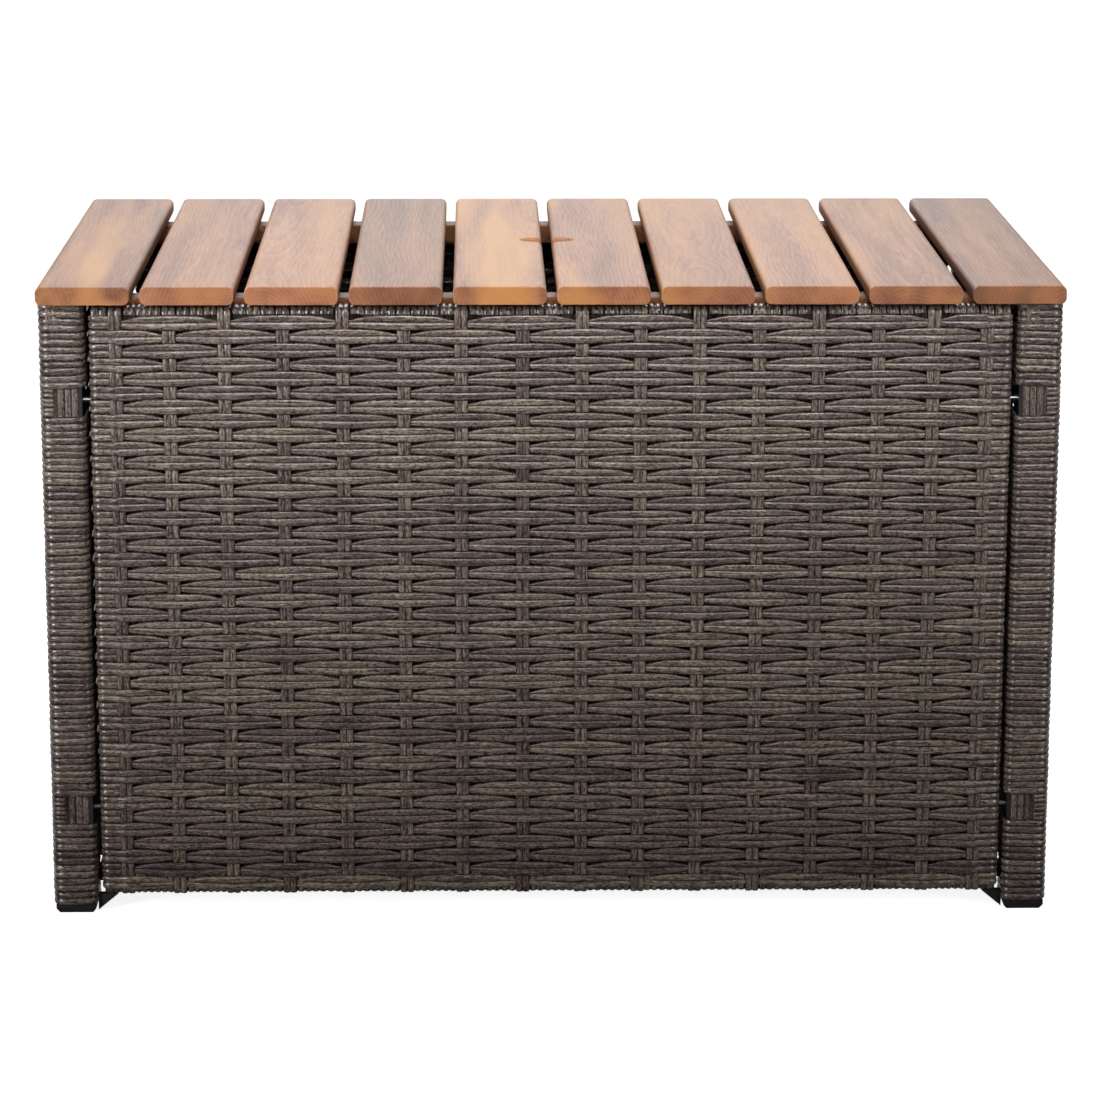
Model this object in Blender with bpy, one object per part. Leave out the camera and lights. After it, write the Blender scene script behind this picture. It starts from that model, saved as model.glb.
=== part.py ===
"""Deck storage box: woven side panels bolted between four corner posts, under a hinged lid of wooden slats.

Metres, +Z up. The origin is on the ground under the middle of the box. +X runs to the right, the front faces -Y,
and the lid turns up about an axis along X at the top of the back.
"""

import math

import bmesh
import bpy
from mathutils import Vector

# Overall size
LID_WIDTH = 1.000
LID_DEPTH = 0.587
TOTAL_HEIGHT = 0.640
BODY_WIDTH = 0.998
BODY_DEPTH = 0.563
GAP = 0.0003

# Lid slats and the battens that carry them
SLAT_COUNT = 10
SLAT_SPACING = 0.0104
SLAT_THICKNESS = 0.018
SLAT_EDGE_RADIUS = 0.005
FINGER_HOLE_WIDTH = 0.053
FINGER_HOLE_DEPTH = 0.030
BATTEN_LENGTH = 0.872
BATTEN_WIDTH = 0.032
BATTEN_THICKNESS = 0.020
BATTEN_INSET = 0.045

# Corner posts: a square steel tube in a woven sleeve, on a plastic foot
POST_SIZE = 0.043
SLEEVE_WALL = 0.0022
TUBE_SIZE = POST_SIZE - 2 * (SLEEVE_WALL + GAP)
TUBE_WALL = 0.0015
SLEEVE_BOTTOM = 0.010
WINDOW_DEPTH = 0.0012
WINDOW_HEIGHT = 0.028
WINDOW_CENTRES = {"lower": 0.108, "upper": 0.524}
FOOT_TOP_SIZE = 0.040
FOOT_BOTTOM_SIZE = 0.033
FOOT_PLUG_HEIGHT = 0.025

# Woven panels: a skin with a rim that wraps a ring of square tube
PANEL_SLIT = 0.0045
PANEL_BOTTOM = 0.0185
PANEL_TOP = 0.619
SKIN_THICKNESS = 0.005
RIM_THICKNESS = 0.003
FRAME_TUBE = 0.020
FRAME_WALL = 0.0012

# Corner gussets between the posts' feet and the front and back panels
GUSSET_RUN = 0.020
GUSSET_THICKNESS = 0.008

# Floor
FLOOR_TUBE = 0.015
FLOOR_WALL = 0.001
FLOOR_MESH_THICKNESS = 0.005
FLOOR_BAR_SPOTS = (-0.448, -0.150, 0.150, 0.448)

# Bolts through the posts into the front and back panels
BOLT_RADIUS = 0.003
BOLT_HEAD_RADIUS = 0.006
BOLT_HEAD_HEIGHT = 0.0025
BOLT_LENGTH = 0.060
BOLT_HOLE_RADIUS = 0.0033
BOLT_HEAD_HOLE_RADIUS = 0.0066
DRAIN_HOLE_RADIUS = 0.0025

# Hinges
HINGE_SPOT = 0.3536
HINGE_LENGTH = 0.060
BODY_LEAF_REACH = 0.045
LID_LEAF_REACH = 0.036
LEAF_THICKNESS = 0.002
LEAF_OFFSET = 0.0022
KNUCKLE_RADIUS = 0.004
PIN_RADIUS = 0.0019
PIN_BORE_RADIUS = 0.0020
PIN_HEAD_RADIUS = 0.0032
KNUCKLE_SHARE = 0.3
LID_RANGE = math.radians(80)

# Slotted stays that stop the lid
STAY_RADIUS = 0.170
STAY_LID_DROP = 0.0075
STAY_STUD_DROP = 0.0455
BAR_THICKNESS = 0.0025
BAR_HALF_WIDTH = 0.008
BAR_INNER_X = 0.4565
SLOT_HALF_WIDTH = 0.0034
STUD_RADIUS = 0.003
STUD_SHOULDER_RADIUS = 0.005
STUD_HEAD_RADIUS = 0.0065
STUD_HEAD_HEIGHT = 0.002
STAY_PLATE_THICKNESS = 0.003
STAY_PLATE_WIDTH = 0.030
EAR_THICKNESS = 0.0025
EAR_WIDTH = 0.040
FLANGE_REACH = 0.022
RIVET_RADIUS = 0.0025
RIVET_HEAD_RADIUS = 0.005
RIVET_HEAD_HEIGHT = 0.0015
RUNNING_CLEARANCE = 0.0001

ROUND_SEGMENTS = 24
SMALL_SEGMENTS = 16

# Places that several pieces share
SLAT_BOTTOM = TOTAL_HEIGHT - SLAT_THICKNESS
SLAT_WIDTH = (LID_WIDTH - (SLAT_COUNT - 1) * SLAT_SPACING) / SLAT_COUNT
POST_INNER_X = BODY_WIDTH / 2 - POST_SIZE
POST_INNER_Y = BODY_DEPTH / 2 - POST_SIZE
POST_TOP = SLAT_BOTTOM - GAP
PANEL_DEPTH = SKIN_THICKNESS + FRAME_TUBE + 2 * GAP
RAIL_CENTRE_Y = BODY_DEPTH / 2 - SKIN_THICKNESS - GAP - FRAME_TUBE / 2
HINGE_Y = BODY_DEPTH / 2 + GAP + LEAF_THICKNESS + LEAF_OFFSET
HINGE_Z = SLAT_BOTTOM - GAP - LEAF_THICKNESS - LEAF_OFFSET
SIDES = {"left": -1, "right": 1}
ENDS = {"front": -1, "back": 1}


# ---------------------------------------------------------------- scene, materials and placing

def clear_scene():
    for obj in list(bpy.data.objects):
        bpy.data.objects.remove(obj, do_unlink=True)


def make_material(name, color, roughness, metallic=0.0):
    material = bpy.data.materials.new(name)
    material.use_nodes = True
    shader = material.node_tree.nodes["Principled BSDF"]
    shader.inputs["Base Color"].default_value = (*color, 1.0)
    shader.inputs["Roughness"].default_value = roughness
    shader.inputs["Metallic"].default_value = metallic
    material.diffuse_color = (*color, 1.0)
    return material


def make_empty(name, place):
    empty = bpy.data.objects.new(name, None)
    empty.empty_display_size = 0.03
    empty.location = place
    bpy.context.scene.collection.objects.link(empty)
    return empty


def make_object(name, shape, material, place, parent):
    """An object from a bmesh, with its origin at place, given in world coordinates, under parent."""
    bmesh.ops.recalc_face_normals(shape, faces=shape.faces)
    mesh = bpy.data.meshes.new(name)
    shape.to_mesh(mesh)
    shape.free()
    if material:
        mesh.materials.append(material)
    obj = bpy.data.objects.new(name, mesh)
    bpy.context.scene.collection.objects.link(obj)
    obj.parent = parent
    obj.location = Vector(place) - parent.location
    return obj


def shade_round(obj):
    obj.data.shade_smooth()
    obj.data.set_sharp_from_angle(angle=math.radians(35))


# ---------------------------------------------------------------- basic shapes

def prism(outline, low, high, axis):
    """The outline, a list of points across axis, drawn out from low to high along axis (0, 1 or 2)."""
    shape = bmesh.new()
    rings = []
    for along in (low, high):
        ring = []
        for first, second in outline:
            point = [first, second]
            point.insert(axis, along)
            ring.append(shape.verts.new(point))
        rings.append(ring)
    shape.faces.new(rings[0])
    shape.faces.new(rings[1])
    for index in range(len(outline)):
        after = (index + 1) % len(outline)
        shape.faces.new((rings[0][index], rings[0][after], rings[1][after], rings[1][index]))
    return shape


def rectangle(low_first, high_first, low_second, high_second):
    return [
        (low_first, low_second),
        (high_first, low_second),
        (high_first, high_second),
        (low_first, high_second),
    ]


def box(low, high):
    return prism(rectangle(low[0], high[0], low[1], high[1]), low[2], high[2], 2)


def centred_box(size_x, size_y, size_z):
    half = (size_x / 2, size_y / 2, size_z / 2)
    return box([-value for value in half], half)


def circle_points(radius, segments=SMALL_SEGMENTS):
    step = math.tau / segments
    return [(radius * math.cos(step * (i + 0.5)), radius * math.sin(step * (i + 0.5))) for i in range(segments)]


def rounded_rectangle(width, height, radius, steps=4):
    points = []
    corners = [(1, 1, 0), (-1, 1, 90), (-1, -1, 180), (1, -1, 270)]
    for sign_first, sign_second, start in corners:
        centre_first = sign_first * (width / 2 - radius)
        centre_second = sign_second * (height / 2 - radius)
        for step in range(steps + 1):
            angle = math.radians(start + 90 * step / steps)
            points.append((centre_first + radius * math.cos(angle), centre_second + radius * math.sin(angle)))
    return points


def turned(profile, axis, segments=SMALL_SEGMENTS):
    """A round solid on an axis, from (distance along the axis, radius) pairs."""
    shape = bmesh.new()
    rings = []
    for along, radius in profile:
        ring = []
        for first, second in circle_points(radius, segments):
            point = [first, second]
            point.insert(axis, along)
            ring.append(shape.verts.new(point))
        rings.append(ring)
    shape.faces.new(rings[0])
    shape.faces.new(rings[-1])
    for lower, upper in zip(rings, rings[1:]):
        for index in range(segments):
            after = (index + 1) % segments
            shape.faces.new((lower[index], lower[after], upper[after], upper[index]))
    return shape


def stacked_squares(levels):
    """A tapered or stepped square solid from (height, side) pairs, lowest first."""
    shape = bmesh.new()
    rings = []
    for height, side in levels:
        half = side / 2
        ring = [shape.verts.new((x, y, height)) for x, y in rectangle(-half, half, -half, half)]
        rings.append(ring)
    shape.faces.new(rings[0])
    shape.faces.new(rings[-1])
    for lower, upper in zip(rings, rings[1:]):
        for index in range(4):
            after = (index + 1) % 4
            shape.faces.new((lower[index], lower[after], upper[after], upper[index]))
    return shape


# ---------------------------------------------------------------- cutting and joining

def helper(name, shape, place, parent):
    """A cutter or a piece to be joined on, left out of the finished object."""
    obj = make_object(name, shape, None, place, parent)
    obj.display_type = "WIRE"
    obj.hide_render = True
    return obj


def combine(target, others, operation):
    for other in others:
        modifier = target.modifiers.new(other.name, "BOOLEAN")
        modifier.solver = "EXACT"
        modifier.operation = operation
        modifier.object = other


def cut(target, cutters):
    combine(target, cutters, "DIFFERENCE")


def join(target, pieces):
    combine(target, pieces, "UNION")


def hole_along_x(name, place, radius, length, parent):
    shape = prism(circle_points(radius), -length / 2, length / 2, 0)
    return helper(name, shape, place, parent)


# ---------------------------------------------------------------- corner posts

def bolt_spots(end, side):
    """The bolts of one post: name of the level, and the place in the post, in line with the panel's tube."""
    x = side * (BODY_WIDTH / 2 - POST_SIZE / 2)
    y = end * RAIL_CENTRE_Y
    return [(level, Vector((x, y, height))) for level, height in WINDOW_CENTRES.items()]


def add_post(end_name, side_name, materials, root):
    end = ENDS[end_name]
    side = SIDES[side_name]
    label = f"{end_name}_{side_name}"
    base = Vector((side * (BODY_WIDTH - POST_SIZE) / 2, end * (BODY_DEPTH - POST_SIZE) / 2, 0))

    tube_top = POST_TOP - RIM_THICKNESS
    half = TUBE_SIZE / 2
    shape = box((-half, -half, SLEEVE_BOTTOM + GAP), (half, half, tube_top))
    tube = make_object(f"leg_tube_{label}", shape, materials["steel"], base, root)
    inner = half - TUBE_WALL
    bore = helper(f"cut_tube_{label}", box((-inner, -inner, 0), (inner, inner, TOTAL_HEIGHT)), base, root)
    cut(tube, [bore])

    windows = []
    for centre in WINDOW_CENTRES.values():
        low = centre - WINDOW_HEIGHT / 2
        high = centre + WINDOW_HEIGHT / 2
        windows += [(low, 0), (low, WINDOW_DEPTH), (high, WINDOW_DEPTH), (high, 0)]
    levels = [(SLEEVE_BOTTOM, POST_SIZE)]
    levels += [(height, POST_SIZE - 2 * depth) for height, depth in windows]
    levels += [(POST_TOP, POST_SIZE)]
    sleeve = make_object(f"leg_wrap_{label}", stacked_squares(levels), materials["rattan"], base, root)
    hollow = half + GAP
    bore = helper(f"cut_sleeve_{label}", box((-hollow, -hollow, 0), (hollow, hollow, tube_top + GAP)), base, root)
    cut(sleeve, [bore])

    plug = TUBE_SIZE - 2 * (TUBE_WALL + GAP)
    levels = [
        (0, FOOT_BOTTOM_SIZE),
        (SLEEVE_BOTTOM / 2, FOOT_TOP_SIZE),
        (SLEEVE_BOTTOM - GAP, FOOT_TOP_SIZE),
        (SLEEVE_BOTTOM - GAP, plug),
        (SLEEVE_BOTTOM + FOOT_PLUG_HEIGHT, plug),
    ]
    make_object(f"leg_foot_{label}", stacked_squares(levels), materials["foot"], base, root)

    outer_x = side * BODY_WIDTH / 2
    for level, spot in bolt_spots(end, side):
        through = hole_along_x(f"cut_bolt_{label}_{level}", spot, BOLT_HOLE_RADIUS, 2 * POST_SIZE, root)
        cut(tube, [through])
        cut(sleeve, [through])
        mouth = Vector((outer_x, spot.y, spot.z))
        counterbore = hole_along_x(f"cut_head_{label}_{level}", mouth, BOLT_HEAD_HOLE_RADIUS, 2 * TUBE_SIZE / 5, root)
        cut(sleeve, [counterbore])
        add_bolt(f"panel_bolt_{label}_{level}", spot, side, materials["zinc"], root)
    return sleeve


def add_bolt(name, spot, side, material, root):
    seat = BODY_WIDTH / 2 - SLEEVE_WALL - GAP + GAP
    crown = BOLT_HEAD_RADIUS * 0.7
    profile = [
        (side * BOLT_HEAD_HEIGHT, crown),
        (side * BOLT_HEAD_HEIGHT * 0.5, BOLT_HEAD_RADIUS),
        (0, BOLT_HEAD_RADIUS),
        (0, BOLT_RADIUS),
        (-side * BOLT_LENGTH, BOLT_RADIUS),
    ]
    bolt = make_object(name, turned(profile, 0), material, (side * seat, spot.y, spot.z), root)
    shade_round(bolt)


# ---------------------------------------------------------------- woven panels

def ring(half_length, low, high, depth, inset, thickness):
    """The outer and the inner box of a rectangular ring, as bmeshes: length along X and depth along Y from 0."""
    outer = box((-half_length + inset, 0, low + inset), (half_length - inset, depth, high - inset))
    inset += thickness
    inner = box((-half_length + inset, -depth, low + inset), (half_length - inset, 2 * depth, high - inset))
    return outer, inner


def add_panel(name, half_length, place, turn, materials, root):
    """A woven panel, drawn with its face towards -Y at y = 0 and turned about Z into its place."""
    low = PANEL_BOTTOM
    high = PANEL_TOP
    skin = box((-half_length, 0, low), (half_length, PANEL_DEPTH, high))
    weave = make_object(f"{name}_weave", skin, materials["rattan"], place, root)
    pocket = box(
        (-half_length + RIM_THICKNESS, SKIN_THICKNESS, low + RIM_THICKNESS),
        (half_length - RIM_THICKNESS, 2 * PANEL_DEPTH, high - RIM_THICKNESS),
    )
    pocket_cutter = helper(f"cut_{name}_pocket", pocket, place, root)
    cut(weave, [pocket_cutter])

    inset = RIM_THICKNESS + GAP
    outer, inner = ring(half_length, low, high, FRAME_TUBE, inset, FRAME_TUBE)
    forward = Vector((0, SKIN_THICKNESS + GAP, 0))
    frame_place = place + turned_vector(forward, turn)
    frame = make_object(f"{name}_frame", outer, materials["steel"], frame_place, root)
    opening = helper(f"cut_{name}_opening", inner, frame_place, root)

    wall = FRAME_WALL
    void_outer = box(
        (-half_length + inset + wall, wall, low + inset + wall),
        (half_length - inset - wall, FRAME_TUBE - wall, high - inset - wall),
    )
    void_inset = inset + FRAME_TUBE - wall
    void_inner = box(
        (-half_length + void_inset, -FRAME_TUBE, low + void_inset),
        (half_length - void_inset, 2 * FRAME_TUBE, high - void_inset),
    )
    void = helper(f"cut_{name}_void", void_outer, frame_place, root)
    core = helper(f"cut_{name}_core", void_inner, frame_place, root)
    cut(void, [core])
    cut(frame, [opening, void])
    for obj in (weave, pocket_cutter, frame, opening, void, core):
        obj.rotation_euler.z = turn
    return weave, frame


def turned_vector(vector, turn):
    cosine = math.cos(turn)
    sine = math.sin(turn)
    return Vector((vector.x * cosine - vector.y * sine, vector.x * sine + vector.y * cosine, vector.z))


def bolt_panel(weave, frame, end, root):
    """The holes in a front or back panel's ends that its bolts reach into."""
    for side_name, side in SIDES.items():
        for level, height in WINDOW_CENTRES.items():
            spot = (side * (POST_INNER_X - PANEL_SLIT), end * RAIL_CENTRE_Y, height)
            name = f"cut_panel_{weave.name}_{side_name}_{level}"
            hole = hole_along_x(name, spot, BOLT_HOLE_RADIUS, FRAME_TUBE, root)
            cut(weave, [hole])
            cut(frame, [hole])


def weld_side_rails(name, side, weave, frame, sleeves, root):
    """A side panel's rails run on through the slits to the post tubes, where they are welded."""
    rail_x = side * (BODY_WIDTH / 2 - SKIN_THICKNESS - GAP - FRAME_TUBE / 2)
    start = POST_INNER_Y - PANEL_SLIT - RIM_THICKNESS - GAP - FRAME_TUBE / 2
    stop = POST_INNER_Y + SLEEVE_WALL + GAP
    middle = (start + stop) / 2
    centre_inset = RIM_THICKNESS + GAP + FRAME_TUBE / 2
    heights = {"bottom": PANEL_BOTTOM + centre_inset, "top": PANEL_TOP - centre_inset}
    for end_name, end in ENDS.items():
        for level, height in heights.items():
            label = f"{name}_{end_name}_{level}"
            spot = (rail_x, end * middle, height)
            length = stop - start
            stub = helper(f"join_{label}", centred_box(FRAME_TUBE, length, FRAME_TUBE), spot, root)
            join(frame, [stub])
            hollow = FRAME_TUBE - 2 * FRAME_WALL
            bore = helper(f"cut_{label}_bore", centred_box(hollow, 2 * FRAME_TUBE + length, hollow), spot, root)
            cut(frame, [bore])
            wide = FRAME_TUBE + 2 * GAP
            passage = helper(f"cut_{label}_way", centred_box(wide, 2 * length, wide), spot, root)
            cut(weave, [passage])
            cut(sleeves[end_name], [passage])


def add_gusset(end_name, side_name, material, root):
    end = ENDS[end_name]
    side = SIDES[side_name]
    top = PANEL_BOTTOM - GAP
    start = POST_INNER_X - GAP
    outline = [
        (side * start, top),
        (side * (start - GUSSET_RUN), top),
        (side * start, GAP * 5),
    ]
    place = (0, end * (BODY_DEPTH - PANEL_DEPTH) / 2, 0)
    shape = prism(outline, -GUSSET_THICKNESS / 2, GUSSET_THICKNESS / 2, 1)
    make_object(f"corner_gusset_{end_name}_{side_name}", shape, material, place, root)


# ---------------------------------------------------------------- floor

def add_floor(materials, root):
    top = PANEL_BOTTOM + RIM_THICKNESS + GAP + FRAME_TUBE
    low = top - FLOOR_TUBE
    half_x = POST_INNER_X - GAP
    half_y = BODY_DEPTH / 2 - PANEL_DEPTH - GAP
    outer = box((-half_x, -half_y, low), (half_x, half_y, top))
    frame = make_object("floor_frame", outer, materials["steel"], (0, 0, 0), root)
    edges = list(FLOOR_BAR_SPOTS)
    for index, (left, right) in enumerate(zip(edges, edges[1:])):
        inner_low = (left + FLOOR_TUBE / 2, -half_y + FLOOR_TUBE, low - FLOOR_TUBE)
        inner_high = (right - FLOOR_TUBE / 2, half_y - FLOOR_TUBE, top + FLOOR_TUBE)
        bay = helper(f"cut_floor_bay_{index}", box(inner_low, inner_high), (0, 0, 0), root)
        cut(frame, [bay])
    across = FLOOR_TUBE - 2 * FLOOR_WALL
    for end_name, end in ENDS.items():
        spot = (0, end * (half_y - FLOOR_TUBE / 2), (low + top) / 2)
        bore = helper(f"cut_floor_rail_{end_name}", centred_box(3 * half_x, across, across), spot, root)
        cut(frame, [bore])

    mesh_low = top + GAP
    mesh_high = mesh_low + FLOOR_MESH_THICKNESS
    reach_x = BODY_WIDTH / 2 - PANEL_DEPTH - GAP
    notch_x = POST_INNER_X - GAP
    notch_y = POST_INNER_Y - GAP
    quarter = [(reach_x, notch_y), (notch_x, notch_y), (notch_x, half_y)]
    outline = list(quarter)
    outline += [(-x, y) for x, y in reversed(quarter)]
    outline += [(-x, -y) for x, y in quarter]
    outline += [(x, -y) for x, y in reversed(quarter)]
    make_object("floor_weave", prism(outline, mesh_low, mesh_high, 2), materials["rattan"], (0, 0, 0), root)


# ---------------------------------------------------------------- lid

def add_slats(material, pivot):
    pitch = SLAT_WIDTH + SLAT_SPACING
    centre_z = TOTAL_HEIGHT - SLAT_THICKNESS / 2
    hole_outline = []
    for step in range(ROUND_SEGMENTS):
        angle = math.tau * (step + 0.5) / ROUND_SEGMENTS
        hole_outline.append((FINGER_HOLE_WIDTH / 2 * math.cos(angle), FINGER_HOLE_DEPTH / 2 * math.sin(angle)))
    hole_shape = prism(hole_outline, -SLAT_THICKNESS, SLAT_THICKNESS, 2)
    hole = helper("cut_finger_hole", hole_shape, (0, 0, centre_z), pivot)
    for index in range(SLAT_COUNT):
        x = (index - (SLAT_COUNT - 1) / 2) * pitch
        outline = rounded_rectangle(SLAT_WIDTH, SLAT_THICKNESS, SLAT_EDGE_RADIUS)
        shape = prism(outline, -LID_DEPTH / 2, LID_DEPTH / 2, 1)
        slat = make_object(f"slat_{index + 1:02d}", shape, material, (x, 0, centre_z), pivot)
        if abs(x) < pitch:
            cut(slat, [hole])
        shade_round(slat)


def add_battens(material, pivot):
    centre_z = SLAT_BOTTOM - GAP - BATTEN_THICKNESS / 2
    distance = LID_DEPTH / 2 - BATTEN_INSET - BATTEN_WIDTH / 2
    for end_name, end in ENDS.items():
        shape = centred_box(BATTEN_LENGTH, BATTEN_WIDTH, BATTEN_THICKNESS)
        make_object(f"lid_batten_{end_name}", shape, material, (0, end * distance, centre_z), pivot)


# ---------------------------------------------------------------- hinges

def knuckle(low, high):
    return turned([(low, KNUCKLE_RADIUS), (high, KNUCKLE_RADIUS)], 0)


def add_hinge(side_name, materials, root, pivot):
    place = Vector((SIDES[side_name] * HINGE_SPOT, HINGE_Y, HINGE_Z))
    half = HINGE_LENGTH / 2
    share = HINGE_LENGTH * KNUCKLE_SHARE
    inner = half - share
    reach = LEAF_OFFSET + LEAF_THICKNESS
    bore = turned([(-HINGE_LENGTH, PIN_BORE_RADIUS), (HINGE_LENGTH, PIN_BORE_RADIUS)], 0)
    bore_cutter = helper(f"cut_hinge_bore_{side_name}", bore, place, root)

    plate = box((-half, -reach, -BODY_LEAF_REACH), (half, -LEAF_OFFSET, 0))
    body_leaf = make_object(f"hinge_body_leaf_{side_name}", plate, materials["zinc"], place, root)
    for name, low, high in (("a", -half, -inner), ("b", inner, half)):
        join(body_leaf, [helper(f"join_knuckle_{name}_{side_name}", knuckle(low, high), place, root)])
    clearance = KNUCKLE_RADIUS + GAP
    relief = box((-inner - GAP, -clearance, -clearance), (inner + GAP, clearance, clearance))
    cut(body_leaf, [helper(f"cut_relief_{side_name}", relief, place, root), bore_cutter])

    plate = box((-half, -LID_LEAF_REACH, LEAF_OFFSET), (half, 0, reach))
    lid_leaf = make_object(f"hinge_lid_leaf_{side_name}", plate, materials["zinc"], place, pivot)
    middle = helper(f"join_knuckle_c_{side_name}", knuckle(-inner + GAP, inner - GAP), place, root)
    join(lid_leaf, [middle])
    for name, low, high in (("d", -half - GAP, -inner + GAP), ("e", inner - GAP, half + GAP)):
        relief = box((low, -clearance, -clearance), (high, clearance, clearance))
        cut(lid_leaf, [helper(f"cut_relief_{name}_{side_name}", relief, place, root)])
    cut(lid_leaf, [bore_cutter])

    head = half + GAP
    profile = [
        (-head - LEAF_THICKNESS / 2, PIN_HEAD_RADIUS),
        (-head, PIN_HEAD_RADIUS),
        (-head, PIN_RADIUS),
        (half, PIN_RADIUS),
    ]
    pin = make_object(f"hinge_pin_{side_name}", turned(profile, 0), materials["zinc"], place, root)
    for obj in (body_leaf, lid_leaf, pin):
        shade_round(obj)


# ---------------------------------------------------------------- lid stays

def stay_places():
    """The bar's pivot on the lid and the stud on the box, as (y, z). Both lie on one circle about the hinge axis,
    so the line between them turns exactly half as fast as the lid."""
    lid_y = HINGE_Y - math.sqrt(STAY_RADIUS**2 - STAY_LID_DROP**2)
    stud_y = HINGE_Y - math.sqrt(STAY_RADIUS**2 - STAY_STUD_DROP**2)
    return (lid_y, HINGE_Z - STAY_LID_DROP), (stud_y, HINGE_Z - STAY_STUD_DROP)


def stay_reach():
    """Distances from the lid pivot to the stud: closed, and at the end of the lid's range."""
    spread = math.asin(STAY_STUD_DROP / STAY_RADIUS) - math.asin(STAY_LID_DROP / STAY_RADIUS)
    closed = 2 * STAY_RADIUS * math.sin(spread / 2)
    opened = 2 * STAY_RADIUS * math.sin((spread + LID_RANGE) / 2)
    return closed, opened


def slot_outline(start, stop, half_width, steps=8):
    """A round-ended outline hanging down: (y, z) points, its end centres at z = -start and z = -stop."""
    points = []
    for centre, first_angle in ((-start, 0), (-stop, 180)):
        for step in range(steps + 1):
            angle = math.radians(first_angle + 180 * step / steps)
            points.append((half_width * math.cos(angle), centre + half_width * math.sin(angle)))
    return points


def add_stay(side_name, materials, root, lid, bar_pivot):
    side = SIDES[side_name]
    (lid_y, lid_z), (stud_y, stud_z) = stay_places()
    closed, opened = stay_reach()
    bar_inner = BAR_INNER_X
    bar_outer = bar_inner + BAR_THICKNESS
    pivot_place = Vector((0, lid_y, lid_z))

    tip = opened + STUD_RADIUS + BAR_HALF_WIDTH
    outline = slot_outline(0, tip, BAR_HALF_WIDTH)
    shape = prism(outline, *sorted((side * bar_inner, side * bar_outer)), 0)
    bar = make_object(f"stay_bar_{side_name}", shape, materials["zinc"], pivot_place, bar_pivot)
    slot = slot_outline(closed, opened, SLOT_HALF_WIDTH)
    slot_shape = prism(slot, *sorted((side * (bar_inner - GAP), side * (bar_outer + GAP))), 0)
    slot_cutter = helper(f"cut_slot_{side_name}", slot_shape, pivot_place, bar_pivot)
    lean = math.atan2(stud_y - lid_y, lid_z - stud_z)
    for obj in (bar, slot_cutter):
        obj.rotation_euler.x = lean
    eye_place = Vector((side * bar_outer, lid_y, lid_z))
    eye = hole_along_x(f"cut_eye_{side_name}", eye_place, RIVET_RADIUS + RUNNING_CLEARANCE, 4 * EAR_THICKNESS, root)
    cut(bar, [slot_cutter, eye])

    ear_inner = bar_outer + 2 * GAP
    ear_outer = ear_inner + EAR_THICKNESS
    flange_top = SLAT_BOTTOM - GAP - lid_z
    flange_low = flange_top - EAR_THICKNESS
    outline = [
        (side * ear_inner, -BAR_HALF_WIDTH),
        (side * ear_outer, -BAR_HALF_WIDTH),
        (side * ear_outer, flange_top),
        (side * (ear_outer - FLANGE_REACH), flange_top),
        (side * (ear_outer - FLANGE_REACH), flange_low),
        (side * ear_inner, flange_low),
    ]
    shape = prism(outline, -EAR_WIDTH / 2, EAR_WIDTH / 2, 1)
    bracket = make_object(f"stay_lid_bracket_{side_name}", shape, materials["zinc"], pivot_place, lid)
    cut(bracket, [eye])

    outer_head = ear_outer + GAP
    inner_head = bar_inner - GAP
    profile = [
        (side * (outer_head + RIVET_HEAD_HEIGHT), RIVET_HEAD_RADIUS),
        (side * outer_head, RIVET_HEAD_RADIUS),
        (side * outer_head, RIVET_RADIUS),
        (side * inner_head, RIVET_RADIUS),
        (side * inner_head, RIVET_HEAD_RADIUS),
        (side * (inner_head - RIVET_HEAD_HEIGHT), RIVET_HEAD_RADIUS),
    ]
    rivet = make_object(f"stay_rivet_{side_name}", turned(profile, 0), materials["zinc"], pivot_place, lid)

    plate_outer = BODY_WIDTH / 2 - PANEL_DEPTH - GAP
    plate_inner = plate_outer - STAY_PLATE_THICKNESS
    plate_top = PANEL_TOP - RIM_THICKNESS - stud_z
    half = STAY_PLATE_WIDTH / 2
    low_x, high_x = sorted((side * plate_inner, side * plate_outer))
    shape = box((low_x, -half, -half), (high_x, half, plate_top))
    plate_place = Vector((0, stud_y, stud_z))
    plate = make_object(f"stay_side_bracket_{side_name}", shape, materials["zinc"], plate_place, root)
    shoulder = bar_outer + 2 * GAP
    head = bar_inner - 2 * GAP
    profile = [
        (side * (plate_inner + STAY_PLATE_THICKNESS / 2), STUD_SHOULDER_RADIUS),
        (side * shoulder, STUD_SHOULDER_RADIUS),
        (side * shoulder, STUD_RADIUS),
        (side * head, STUD_RADIUS),
        (side * head, STUD_HEAD_RADIUS),
        (side * (head - STUD_HEAD_HEIGHT), STUD_HEAD_RADIUS),
    ]
    join(plate, [helper(f"join_stud_{side_name}", turned(profile, 0), plate_place, root)])
    for obj in (bar, rivet, plate):
        shade_round(obj)


# ---------------------------------------------------------------- the whole box

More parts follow.
